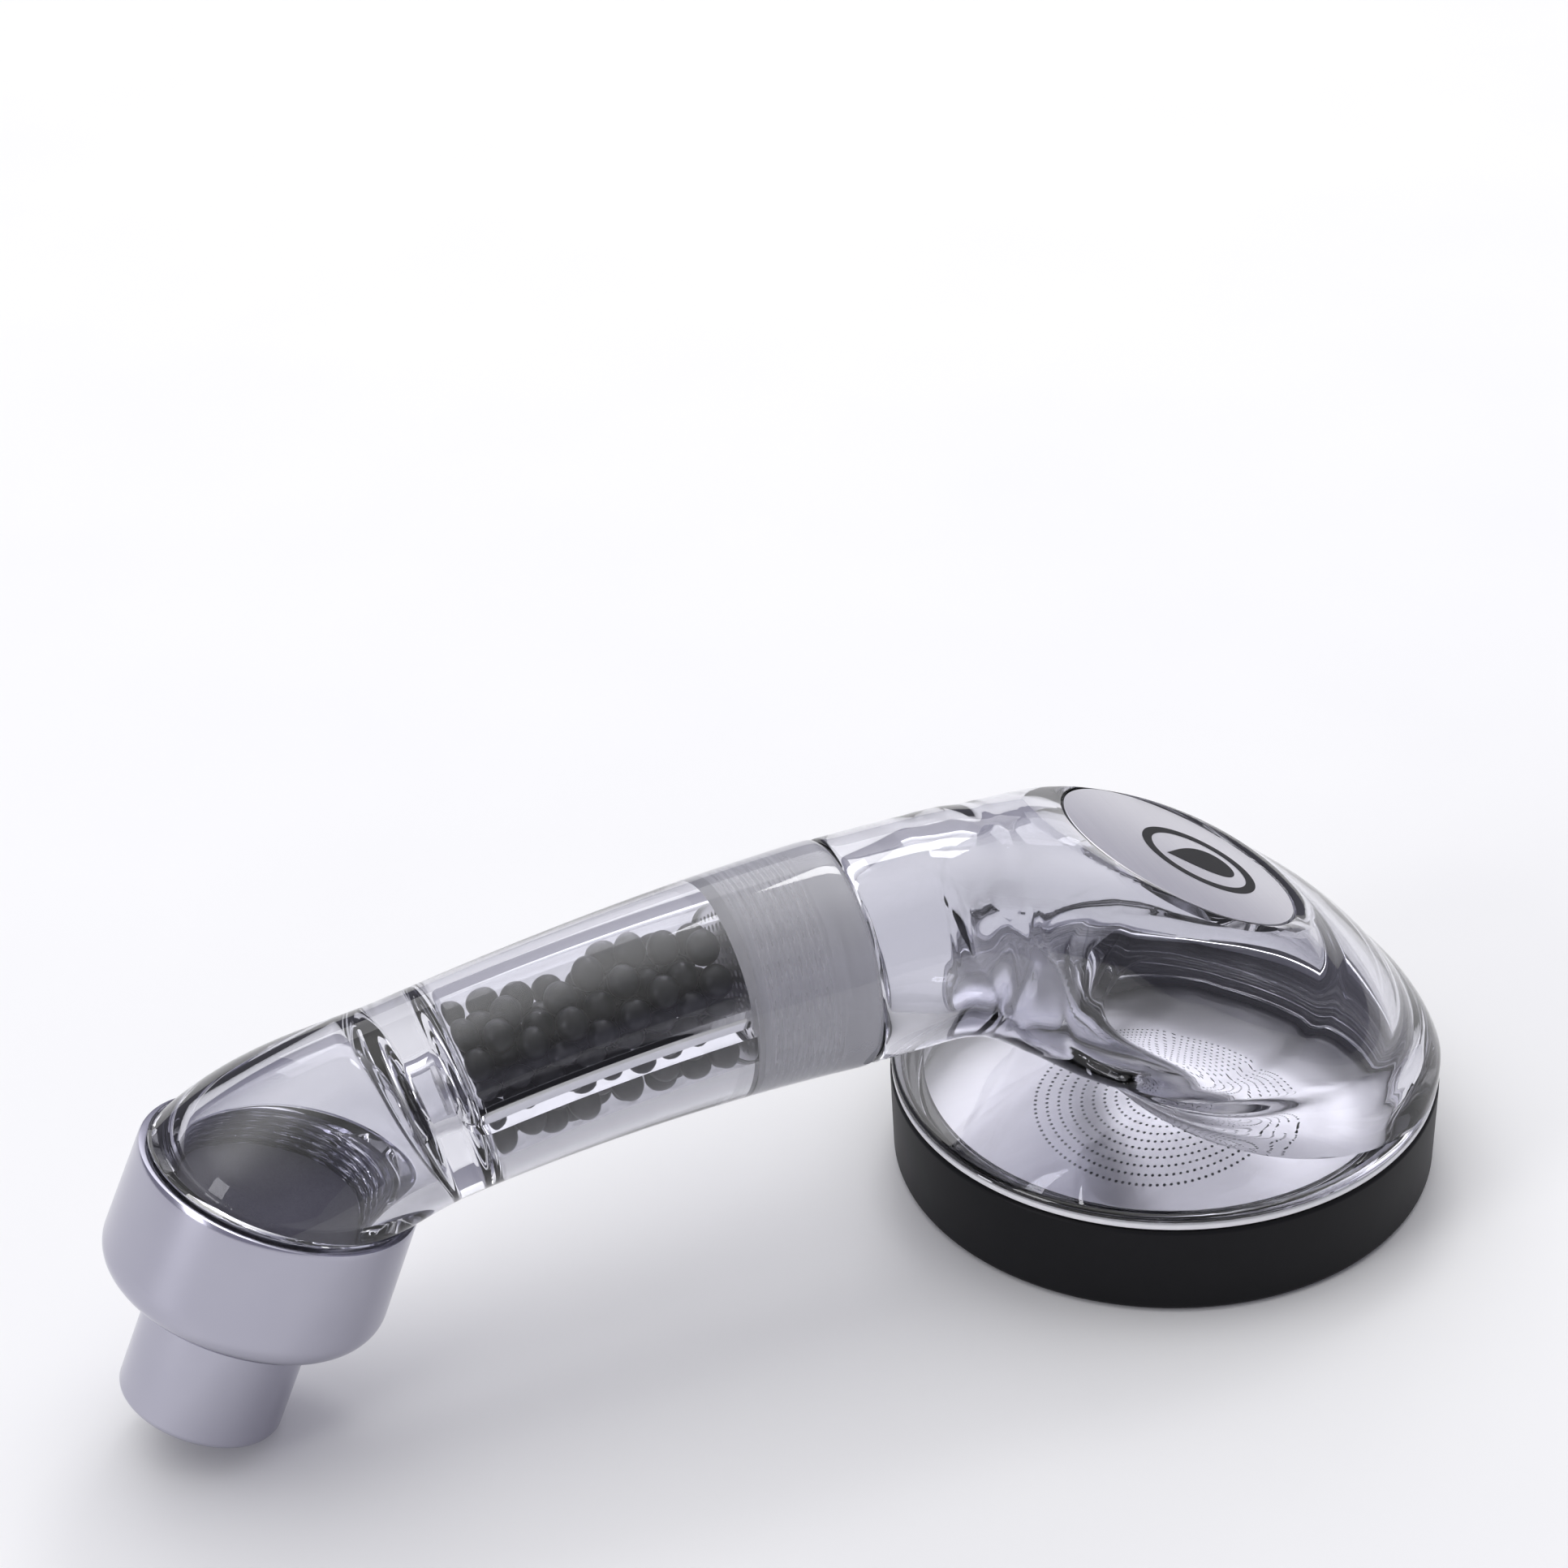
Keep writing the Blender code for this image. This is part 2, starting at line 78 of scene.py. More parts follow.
camera = bpy.data.objects.new("camera", bpy.data.cameras.new("camera"))
camera.data.sensor_width = 36
camera.data.lens = 83.85
camera.data.clip_start = 0.01
turned_down = Matrix.Rotation(math.radians(90) - CAMERA_HEIGHT_ANGLE, 4, "X")
turned_aside = Matrix.Rotation(-CAMERA_SIDE_ANGLE, 4, "Z")
camera_turn = turned_aside @ turned_down @ Matrix.Rotation(CAMERA_ROLL, 4, "Z")
camera.matrix_world = (
    Matrix.Translation(CAMERA_AIM) @ camera_turn @ Matrix.Translation((0, 0, CAMERA_AWAY))
)
bpy.context.scene.collection.objects.link(camera)
bpy.context.scene.camera = camera
bpy.context.scene.view_settings.view_transform = "Standard"


# Table and light. A matt white table in a grey studio that is brightest overhead: a window on the
# left, a big soft light behind, and a small one that puts a gleam along the neck.
TABLE_HALF_M = 3.0
TABLE_LEVEL_M = -0.0002


def linear(hex_colour):
    """The linear colour, with full alpha, of an sRGB hex value."""
    shares = [int(hex_colour[i:i + 2], 16) / 255 for i in (1, 3, 5)]
    light = [s / 12.92 if s <= 0.04045 else ((s + 0.055) / 1.055) ** 2.4 for s in shares]
    return (*light, 1.0)


def add_node(tree, kind, sockets=None, feeds=None, **settings):
    """A node with its settings. Each named socket gets a value, or a link from another's output.

    feeds maps an output's name to the socket that it is linked to.
    """
    made = tree.nodes.new(kind)
    for name, value in settings.items():
        setattr(made, name, value)
    for name, value in (sockets or {}).items():
        if isinstance(value, bpy.types.NodeSocket):
            tree.links.new(value, made.inputs[name])
        else:
            made.inputs[name].default_value = value
    for name, socket in (feeds or {}).items():
        tree.links.new(made.outputs[name], socket)
    return made


def new_finish(name, **surface):
    """A material with a Principled surface, its tree, the surface's sockets and the coordinates."""
    made = bpy.data.materials.new(name)
    made.use_nodes = True
    tree = made.node_tree
    principled = tree.nodes["Principled BSDF"]
    for socket, value in surface.items():
        principled.inputs[socket.replace("_", " ")].default_value = value
    return made, tree, principled.inputs, add_node(tree, "ShaderNodeTexCoord").outputs["Object"]


MM = 0.001


def patchy_finish(name, patch, colours, detail=2.0, distortion=0.0, stretch=None, **surface):
    """A new finish whose colour drifts between two in patches of about this size, in millimetres.

    It gives what new_finish gives, and the socket that says where in the drift a point is.
    """
    made, tree, inputs, at = new_finish(name, **surface)
    if stretch:
        at = add_node(tree, "ShaderNodeMapping", {"Vector": at, "Scale": stretch}).outputs["Vector"]
    drift = add_node(tree, "ShaderNodeTexNoise", {
        "Vector": at, "Scale": 1 / (patch * MM), "Detail": detail, "Distortion": distortion})
    tint = add_node(tree, "ShaderNodeValToRGB", {"Fac": drift.outputs["Fac"]},
                    {"Color": inputs["Base Color"]})
    for stop, colour in zip(tint.color_ramp.elements, colours):
        stop.color = linear(colour)
    return made, tree, inputs, at, drift.outputs["Fac"]


# Matt laminate: white, with a soft mottle too weak to draw the eye.
TABLE_MOTTLE = 60
table_finish = patchy_finish("matt_white_laminate", TABLE_MOTTLE, ("#f6f6f7", "#fafafa"),
                             Roughness=0.9)[0]
table_mesh = bpy.data.meshes.new("table")
table_mesh.from_pydata([(x * TABLE_HALF_M, y * TABLE_HALF_M, TABLE_LEVEL_M)
                        for x, y in ((-1, -1), (1, -1), (1, 1), (-1, 1))], [], [(0, 1, 2, 3)])
table_mesh.materials.append(table_finish)
table = bpy.data.objects.new("table", table_mesh)
bpy.context.scene.collection.objects.link(table)
table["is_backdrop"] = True

# The room: cool grey walls, which draw the edges of clear parts, and a bright ceiling. Its near
# side is dimmer, so that the top of the clear handle mirrors little and the balls show through.
CEILING_STRENGTH = 1.64
NEAR_CEILING_STRENGTH = 0.55

room = bpy.data.worlds.new("pale_studio")
bpy.context.scene.world = room
room.use_nodes = True
tree = room.node_tree
toward = add_node(tree, "ShaderNodeSeparateXYZ",
                  {"Vector": add_node(tree, "ShaderNodeTexCoord").outputs["Generated"]})
background = tree.nodes["Background"].inputs
ramp = add_node(tree, "ShaderNodeValToRGB", {"Fac": toward.outputs["Z"]},
                {"Color": background["Color"]})
ramp.color_ramp.elements[0].color = linear("#74737f")
ramp.color_ramp.elements[1].color = linear("#ffffff")
ramp.color_ramp.elements[1].position = 0.85
half_way = ramp.color_ramp.elements.new(0.55)
half_way.color = linear("#8d8c98")
near_side = add_node(tree, "ShaderNodeMapRange",
                     {"Value": toward.outputs["Y"], "From Min": 0.1, "From Max": -0.35})
overhead = add_node(tree, "ShaderNodeMapRange",
                    {"Value": toward.outputs["Z"], "From Min": 0.45, "From Max": 0.65})
dimmed = add_node(tree, "ShaderNodeMath",
                  {0: near_side.outputs["Result"], 1: overhead.outputs["Result"]},
                  operation="MULTIPLY")
add_node(tree, "ShaderNodeMapRange",
         {"Value": dimmed.outputs["Value"], "To Min": CEILING_STRENGTH,
          "To Max": NEAR_CEILING_STRENGTH}, {"Result": background["Strength"]})


def soft_light(name, place_m, aim_m, width_m, length_m, watts):
    """A rectangular soft light, turned to face its aim."""
    light = bpy.data.lights.new(name, "AREA")
    light.shape = "RECTANGLE"
    light.size, light.size_y, light.energy = width_m, length_m, watts
    made = bpy.data.objects.new(name, light)
    made.location = place_m
    made.rotation_euler = (Vector(aim_m) - Vector(place_m)).to_track_quat("-Z", "Y").to_euler()
    bpy.context.scene.collection.objects.link(made)


soft_light("left_window", (-1.5, -0.35, 0.55), (-0.08, 0, 0.03), 0.45, 0.9, 5.5)
soft_light("behind", (0.35, 1.3, 0.95), (0.04, 0, 0.03), 1.3, 0.7, 3.7)
soft_light("neck_gleam", (0.31, 0.46, 0.77), (0.015, 0, 0.05), 0.24, 0.15, 0.9)


# Handle body. One clear polycarbonate moulding, injection moulded and polished: a socket with a
# thread for the neck, the bore for the balls with a rail on each side, and a bell for the cup.
SIDES = 144
UP = np.array((0.0, 0.0, 1.0))
ACROSS = np.array((0.0, 1.0, 0.0))
GAP = 0.3
HANDLE_TOP_X = 5.8
HANDLE_ARC_R = 355.0
HANDLE_END_ANGLE = 10.2
HANDLE_R = 15.4
HANDLE_SWELL = 1.8
HANDLE_SWELL_CURVE = 1.45
ELBOW_CURVE = 1.9
BELL_R = 19.6
SPIGOT_BORE_R = 15.5
BELL_SPIGOT_R = 17.9
BELL_SPIGOT_LONG = 8.5
# The bell's hollow ends in a dome: where along the elbow, from 0 to 1, and how wide.
DOME_TOP = 0.04
DOME_HIGH = 0.26
DOME_R = 11.6
DOME_SPREAD = 4.0
SOCKET_R = 14.4
SOCKET_DEEP = 19.0
BEAD_BORE_R = 12.3
BEAD_BORE_END_ANGLE = 9.7
BORE_ROUND_ANGLE = 0.75
THROAT_R = 4.0
RAIL_HIGH = 2.2
RAIL_START_ANGLE = math.radians(62.5)
RAIL_EDGE_ANGLE = math.radians(87.5)
RAIL_FOOT_ANGLE = math.radians(90)
NECK_THREAD_PITCH = 1.6
NECK_THREAD_DEEP = 0.55
CUP_THREAD_PITCH = 1.4
CUP_THREAD_DEEP = 0.75


def joint_axis(name):
    """The place, in millimetres, and the direction of a joint of the frame."""
    joint = next(j for j in frame["joints"] if j["name"] == name)
    return np.array(joint["pos_m"]) / MM, np.array(joint["axis"], float)


def axis_frame(origin, along):
    """An axis with a direction square to it that lies in the plane Y = 0, on the upper side."""
    along = along / np.linalg.norm(along)
    side = np.cross(ACROSS, along)
    return origin, along, side if side[2] > 0 or abs(side[2]) < 1e-9 else -side


neck = axis_frame(*joint_axis("neck_unscrew"))
tail = axis_frame(*joint_axis("cup_unscrew"))
face = (joint_axis("ring_unscrew")[0], UP, np.array((1.0, 0.0, 0.0)))
NECK_Z = neck[0][2]
SEAM_X = neck[0][0]
turn = np.linspace(0, math.tau, SIDES, endpoint=False)


def oval(middle, up, length, width, power=2.0):
    """A rounded outline upright at a middle point. A power of 2 is an ellipse."""
    c, s = np.cos(turn), np.sin(turn)
    along = np.broadcast_to(length * np.sign(c) * np.abs(c) ** (2 / power), c.shape)
    across = np.broadcast_to(width * np.sign(s) * np.abs(s) ** (2 / power), c.shape)
    return middle + along[:, None] * up + across[:, None] * ACROSS


def hoop(axis, along, radius):
    """A round outline on an axis. The radius may be one for each corner."""
    origin, direction, side = axis
    radius = np.broadcast_to(radius, turn.shape)
    return (origin + direction * along + (radius * np.cos(turn))[:, None] * side
            + (radius * np.sin(turn))[:, None] * ACROSS)


def thread(radius, depth, along, pitch, start, end, starts=2):
    """The radius round a screw thread: a helical ridge that fades in and out at its ends."""
    phase = along / pitch - starts * turn / math.tau
    ridge = np.clip(0.5 + 0.9 * np.cos(math.tau * phase), 0, 1)
    fade = np.clip(min(along - start, end - along) / pitch + 0.5, 0, 1)
    return radius + depth * ridge * fade


WELD_M = 2e-6
SLIVER_M = 1e-7
SHARP_DEGREES = 38


def skin(name, outlines, finishes, finish_of=None, sharp=SHARP_DEGREES):
    """A closed mesh over outlines of equal count, in millimetres, the last joined to the first.

    finish_of gives the finish's number for the band that follows each outline.
    """
    points = np.concatenate(outlines) * MM
    count, rows = len(outlines[0]), len(outlines)
    here = np.arange(count)
    there = np.roll(here, -1)
    faces, numbers = [], []
    for i in range(rows):
        j = (i + 1) % rows
        quads = np.stack([i * count + here, i * count + there,
                          j * count + there, j * count + here], 1)
        faces += quads.tolist()
        numbers += [finish_of[i] if finish_of else 0] * count
    mesh = bpy.data.meshes.new(name)
    mesh.from_pydata(points.tolist(), [], faces)
    mesh.polygons.foreach_set("material_index", numbers)
    work = bmesh.new()
    work.from_mesh(mesh)
    bmesh.ops.remove_doubles(work, verts=work.verts, dist=WELD_M)
    bmesh.ops.dissolve_degenerate(work, edges=work.edges, dist=SLIVER_M)
    bmesh.ops.recalc_face_normals(work, faces=work.faces)
    if work.calc_volume(signed=True) < 0:
        bmesh.ops.reverse_faces(work, faces=work.faces)
    work.to_mesh(mesh)
    work.free()
    return place(name, mesh, finishes, sharp)


def place(name, mesh, finishes, sharp=SHARP_DEGREES):
    """The object of this mesh, smooth except at edges sharper than this, with its finishes."""
    mesh.shade_smooth()
    mesh.set_sharp_from_angle(angle=math.radians(sharp))
    for finish in finishes:
        mesh.materials.append(finish)
    made = bpy.data.objects.new(name, mesh)
    bpy.context.scene.collection.objects.link(made)
    return made


def belongs(piece, body, slot, *stands_for):
    """The piece rides on a body and stands for these nodes of the frame, which it hides. The slot
    is not used.
    """
    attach(piece, body)
    if stands_for:
        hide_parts(*stands_for)


def arc_place(angle):
    """The middle and the up direction of the handle's section this many degrees down its arc."""
    fall = math.radians(max(angle, 0.0))
    middle = (HANDLE_TOP_X - HANDLE_ARC_R * math.sin(fall), 0,
              NECK_Z - HANDLE_ARC_R * (1 - math.cos(fall)))
    return np.array(middle), np.array((-math.sin(fall), 0, math.cos(fall)))


def handle_radius(angle):
    """The handle swells towards the neck."""
    share = min(max(angle / HANDLE_END_ANGLE, 0.0), 1.0)
    return HANDLE_R + HANDLE_SWELL * (1 - share) ** HANDLE_SWELL_CURVE


def ease(share):
    """0 to 1, starting and ending level."""
    share = np.clip(share, 0, 1)
    return share * share * (3 - 2 * share)


def tail_place(along):
    """The middle and up of a section square to the tail's axis, this far past the cup's rim."""
    return tail[0] + tail[1] * along, tail[2]


def elbow_place(share):
    """The bend from the handle's end, at 0, to the cup's rim, at 1, fanning round one line."""
    middle, up = arc_place(HANDLE_END_ANGLE)
    rim, rim_up = tail_place(0)
    apart = rim - middle
    across = up[0] * rim_up[2] - up[2] * rim_up[0]
    reach = (apart[0] * rim_up[2] - apart[2] * rim_up[0]) / across
    pivot = middle + up * reach
    end = math.atan2(-rim_up[0], rim_up[2])
    start = math.radians(HANDLE_END_ANGLE)
    angle = start + (end - start) * share
    out = np.array((-math.sin(angle), 0, math.cos(angle)))
    far = np.linalg.norm(pivot - rim)
    return pivot + out * (-reach + (far + reach) * share ** ELBOW_CURVE), out


def bore_outline(angle, radius):
    """The bore of the balls: round, with a ledge along each side that slopes like a roof."""
    middle, up = arc_place(angle)
    rail = RAIL_HIGH * np.interp(
        np.minimum(turn, math.tau - turn),
        [RAIL_START_ANGLE, RAIL_EDGE_ANGLE, RAIL_FOOT_ANGLE], [0, 1, 0], 0, 0)
    wall = radius - rail * (radius / BEAD_BORE_R) ** 2
    return middle + (wall * np.cos(turn))[:, None] * up + (wall * np.sin(turn))[:, None] * ACROSS


# Polished polycarbonate: water clear with a cold cast, and a slow ripple from the mould.
MOULD_RIPPLE = 14
MOULD_RIPPLE_DEPTH = 0.06
clear, tree, surface, at = new_finish("polished_clear_polycarbonate", Roughness=0.0,
                                      IOR=1.55, Transmission_Weight=1.0)
surface["Base Color"].default_value = linear("#e4e4ea")
ripple = add_node(tree, "ShaderNodeTexNoise",
                  {"Vector": at, "Scale": 1 / (MOULD_RIPPLE * MM), "Detail": 1.0})
add_node(tree, "ShaderNodeBump",
         {"Height": ripple.outputs["Fac"], "Distance": MOULD_RIPPLE_DEPTH * MM, "Strength": 0.35},
         {"Normal": surface["Normal"]})

# Thread flanks and seal faces come out of the mould with a spark-eroded texture: they are milky.
SPARK_GRAIN = 0.35
SPARK_DEPTH = 0.03
frosted, tree, surface, at = new_finish("frosted_clear_polycarbonate", Roughness=0.5,
                                        IOR=1.55, Transmission_Weight=0.35)
surface["Base Color"].default_value = linear("#fafafc")
sparked = add_node(tree, "ShaderNodeTexNoise", {"Vector": at, "Scale": 1 / (SPARK_GRAIN * MM)})
add_node(tree, "ShaderNodeBump",
         {"Height": sparked.outputs["Fac"], "Distance": SPARK_DEPTH * MM, "Strength": 0.6},
         {"Normal": surface["Normal"]})

outer = []
for along, inset in ((-GAP, 0.7), (-GAP - 0.15, 0.3), (-GAP - 0.5, 0.05), (-GAP - 1.0, 0)):
    outer.append(hoop(neck, along, handle_radius(0) - inset))
for angle in np.linspace(0, HANDLE_END_ANGLE, 42)[:-1]:
    outer.append(oval(*arc_place(angle), handle_radius(angle), handle_radius(angle)))
for share in np.linspace(0, 1, 44)[:-1]:
    height_r = HANDLE_R + (BELL_R - HANDLE_R) * share ** ELBOW_CURVE
    outer.append(oval(*elbow_place(share), height_r, HANDLE_R + (BELL_R - HANDLE_R) * ease(share)))
for along, inset in ((-GAP - 0.5, 0), (-GAP - 0.12, 0.2), (-GAP, 0.6)):
    outer.append(hoop(tail, along, BELL_R - inset))
for along in np.arange(-GAP, BELL_SPIGOT_LONG - 0.5, CUP_THREAD_PITCH / 9):
    outer.append(hoop(tail, along, thread(BELL_SPIGOT_R - CUP_THREAD_DEEP, 0.7, along,
                                          CUP_THREAD_PITCH, 0.8, 7.6)))
outer.append(hoop(tail, BELL_SPIGOT_LONG - 0.4, BELL_SPIGOT_R - CUP_THREAD_DEEP))
outer.append(hoop(tail, BELL_SPIGOT_LONG, BELL_SPIGOT_R - CUP_THREAD_DEEP - 0.35))
inner = [hoop(tail, BELL_SPIGOT_LONG, SPIGOT_BORE_R + 0.4),
         hoop(tail, BELL_SPIGOT_LONG - 0.4, SPIGOT_BORE_R), hoop(tail, 0, SPIGOT_BORE_R)]
dome_shares = DOME_TOP + DOME_HIGH * (1 - np.linspace(0.05, 1, 18)) ** 1.6
for share in np.concatenate([np.linspace(0.9, DOME_TOP + DOME_HIGH, 26), dome_shares]):
    reach = min((share - DOME_TOP) / DOME_HIGH, 1)
    dome = THROAT_R / DOME_R + (1 - THROAT_R / DOME_R) * math.sqrt(1 - (1 - reach) ** 2)
    radius = min((DOME_R + DOME_SPREAD * share ** 1.5) * dome, SPIGOT_BORE_R)
    inner.append(oval(*elbow_place(share), radius, radius))
inner.append(oval(*arc_place(HANDLE_END_ANGLE - 0.15), THROAT_R, THROAT_R))
bore_end = BEAD_BORE_END_ANGLE - BORE_ROUND_ANGLE
for share in np.linspace(1, 0, 14):
    radius = THROAT_R + 0.2 + (BEAD_BORE_R - THROAT_R - 0.2) * math.sqrt(1 - share ** 3)
    inner.append(bore_outline(bore_end + BORE_ROUND_ANGLE * share, radius))
bore_start = math.degrees(math.asin((HANDLE_TOP_X - SEAM_X + SOCKET_DEEP) / HANDLE_ARC_R))
for angle in np.linspace(bore_end, bore_start, 30)[1:]:
    inner.append(bore_outline(angle, BEAD_BORE_R))
first_frosted = len(outer) + len(inner)
inner.append(hoop(neck, -SOCKET_DEEP, SOCKET_R - 0.3))
inner.append(hoop(neck, -SOCKET_DEEP + 0.3, SOCKET_R))
for along in np.arange(-SOCKET_DEEP + 0.6, -0.9, NECK_THREAD_PITCH / 9):
    inner.append(hoop(neck, along, thread(SOCKET_R + NECK_THREAD_DEEP, -0.5, along,
                                          NECK_THREAD_PITCH, -17.2, -6.4)))
inner.append(hoop(neck, -0.8, SOCKET_R + NECK_THREAD_DEEP))
inner.append(hoop(neck, -GAP, SOCKET_R + 1.0))
bands = [1 if i >= first_frosted - 1 else 0 for i in range(len(outer) + len(inner))]
handle = skin("handle_body_clear", outer + inner, [clear, frosted], bands)
belongs(handle, "handle", "clear_plastic", "handle_body")


# Mineral balls. Some 140 balls of fired clay and charcoal, 5 mm across, lie loose in the bore. They
# are poured in through the neck before its screen is pushed in.
BALL_R = 2.5
BALLS = 138
BALL_STEPS = 420
BALL_FINENESS = 3
BALL_SEED = 5
POURED_R = 6
FALL_STEP = 0.12
PUSH_SHARE = 0.45
# Where the balls feel the rail: degrees from the top of the bore.
RAIL_MIDDLE, RAIL_REACH, RAIL_FADE = 80, 12, 22


def settle_balls():
    """Places for the balls in the arc bore, pushed apart and drawn down until they lie still."""
    rng = np.random.default_rng(BALL_SEED)
    low = math.radians(bore_start + 0.05) * HANDLE_ARC_R + BALL_R
    high = math.radians(bore_end + 0.35) * HANDLE_ARC_R - BALL_R
    spots = np.stack([rng.uniform(low, high, BALLS), rng.uniform(-POURED_R, POURED_R, BALLS),
                      rng.uniform(-POURED_R, POURED_R, BALLS)], 1)
    rail_r = BEAD_BORE_R - RAIL_HIGH - BALL_R - 0.1
    for step in range(BALL_STEPS):
        spots[:, 2] -= FALL_STEP * (1 - step / BALL_STEPS)
        for _ in range(3):
            apart = spots[:, None] - spots[None]
            distance = np.linalg.norm(apart, axis=2)
            np.fill_diagonal(distance, 1e9)
            overlap = np.clip(2 * BALL_R + 0.02 - distance, 0, None)
            spots += PUSH_SHARE * (apart / distance[..., None] * overlap[..., None]).sum(1)
            reach = np.hypot(spots[:, 1], spots[:, 2])
            bearing = np.degrees(np.arctan2(abs(spots[:, 1]), spots[:, 2]))
            clear_of_rail = ease((abs(bearing - RAIL_MIDDLE) - RAIL_REACH) / RAIL_FADE)
            room_r = rail_r + (BEAD_BORE_R - BALL_R - 0.15 - rail_r) * clear_of_rail
            spots[:, 1:] *= np.minimum(1, room_r / reach)[:, None]
            spots[:, 0] = np.clip(spots[:, 0], low, high)
    points = []
    for along, across, up_by in spots:
        middle, up = arc_place(math.degrees(along / HANDLE_ARC_R))
        points.append(middle + up * up_by + ACROSS * across)
    return points


def repeat_tree(name, inputs):
    """An empty Geometry Nodes tree with a mesh in and out, and these named number inputs."""
    tree = bpy.data.node_groups.new(name, "GeometryNodeTree")
    tree.interface.new_socket("Geometry", in_out="INPUT", socket_type="NodeSocketGeometry")
    tree.interface.new_socket("Geometry", in_out="OUTPUT", socket_type="NodeSocketGeometry")
    for label, kind in inputs.items():
        tree.interface.new_socket(label, in_out="INPUT", socket_type=kind)
    return tree, add_node(tree, "NodeGroupInput"), add_node(tree, "NodeGroupOutput")


def run_tree(name, tree, points, values):
    """The plain mesh that a tree makes from points in millimetres, its inputs at these values."""
    seed = bpy.data.meshes.new(name)
    seed.from_pydata([tuple(np.array(p) * MM) for p in points], [], [])
    made = bpy.data.objects.new(name, seed)
    bpy.context.scene.collection.objects.link(made)
    modifier = made.modifiers.new(name, "NODES")
    modifier.node_group = tree
    for item in tree.interface.items_tree:
        if item.in_out == "INPUT" and item.name in values:
            modifier[item.identifier] = values[item.name]
    graph = bpy.context.evaluated_depsgraph_get()
    mesh = bpy.data.meshes.new_from_object(made.evaluated_get(graph), depsgraph=graph)
    bpy.data.objects.remove(made)
    mesh.name = name
    return mesh


# Fired charcoal clay: dull and nearly black, paler where dust sticks to it, and finely pitted.
DUST_PATCH = 1.6
PIT = 0.3
PIT_DEPTH = 0.02
charcoal, tree, surface, at, dust = patchy_finish(
    "fired_charcoal_clay", DUST_PATCH, ("#0a0a0b", "#151517"), detail=4.0,
    Roughness=0.36, Specular_IOR_Level=0.45)
pits = add_node(tree, "ShaderNodeTexNoise", {"Vector": at, "Scale": 1 / (PIT * MM)})
add_node(tree, "ShaderNodeBump",
         {"Height": pits.outputs["Fac"], "Distance": PIT_DEPTH * MM, "Strength": 0.5},
         {"Normal": surface["Normal"]})

FULL_TURN = 6.28
SMALLEST_BALL = 0.94
ball_tree, given, result = repeat_tree("poured_balls", {
    "Ball Radius": "NodeSocketFloat", "Fineness": "NodeSocketInt",
    "Seed": "NodeSocketInt", "Finish": "NodeSocketMaterial"})
ball = add_node(ball_tree, "GeometryNodeMeshIcoSphere",
                {"Radius": given.outputs["Ball Radius"],
                 "Subdivisions": given.outputs["Fineness"]})
as_points = add_node(ball_tree, "GeometryNodeMeshToPoints", {"Mesh": given.outputs["Geometry"]})
spin = add_node(ball_tree, "FunctionNodeRandomValue",
                {"Max": (FULL_TURN, FULL_TURN, FULL_TURN), "Seed": given.outputs["Seed"]},
                data_type="FLOAT_VECTOR")
# The float form of this node has its lowest and highest value at inputs 2 and 3.
size = add_node(ball_tree, "FunctionNodeRandomValue",
                {2: SMALLEST_BALL, 3: 1.0, "Seed": given.outputs["Seed"]}, data_type="FLOAT")
balls = add_node(ball_tree, "GeometryNodeInstanceOnPoints",
                 {"Points": as_points.outputs["Points"], "Instance": ball.outputs["Mesh"],
                  "Rotation": spin.outputs["Value"], "Scale": size.outputs[1]})
real = add_node(ball_tree, "GeometryNodeRealizeInstances",
                {"Geometry": balls.outputs["Instances"]})
add_node(ball_tree, "GeometryNodeSetMaterial",
         {"Geometry": real.outputs["Geometry"], "Material": given.outputs["Finish"]},
         {"Geometry": result.inputs["Geometry"]})

ball_mesh = run_tree("mineral_balls", ball_tree, settle_balls(), {
    "Ball Radius": BALL_R * MM, "Fineness": BALL_FINENESS, "Seed": 3, "Finish": charcoal})
mineral_balls = place("mineral_balls", ball_mesh, [], 180)
belongs(mineral_balls, "handle", "charcoal", "bead_bed")


# Screens of the bore. A pierced steel disc at each end keeps the balls in: a wide one in a green
# frame at the neck, pushed in after filling, and a small one in the throat.
SCREEN_THICK = 0.6
SCREEN_HOLE_R = 0.55
SCREEN_HOLE_SIDES = 10
SCREEN_PITCH = 1.9
OUTLET_SCREEN_R = 12.0
OUTLET_SCREEN_LEVEL = -18.6
INLET_HOLE_R = 0.45
INLET_PITCH = 1.5

# Rolled stainless sheet, satin ground: warm grey, with fine grinding lines along one direction.
# The real lines are about 0.1 mm apart, and are drawn at 0.75 mm so that they show.
GRIND_LINE_LONG = 30
GRIND_LINE_SQUEEZE = 40.0
GRIND_DEPTH = 0.004
sheet_steel, tree, surface, at, lines = patchy_finish(
    "satin_ground_stainless", GRIND_LINE_LONG, ("#e6e5e6", "#f2f1f1"), detail=5.0,
    stretch=(1.0, GRIND_LINE_SQUEEZE, 1.0), Metallic=1.0)
add_node(tree, "ShaderNodeMapRange", {"Value": lines, "To Min": 0.34, "To Max": 0.46},
         {"Result": surface["Roughness"]})
add_node(tree, "ShaderNodeBump",
         {"Height": lines, "Distance": GRIND_DEPTH * MM, "Strength": 0.3},
         {"Normal": surface["Normal"]})

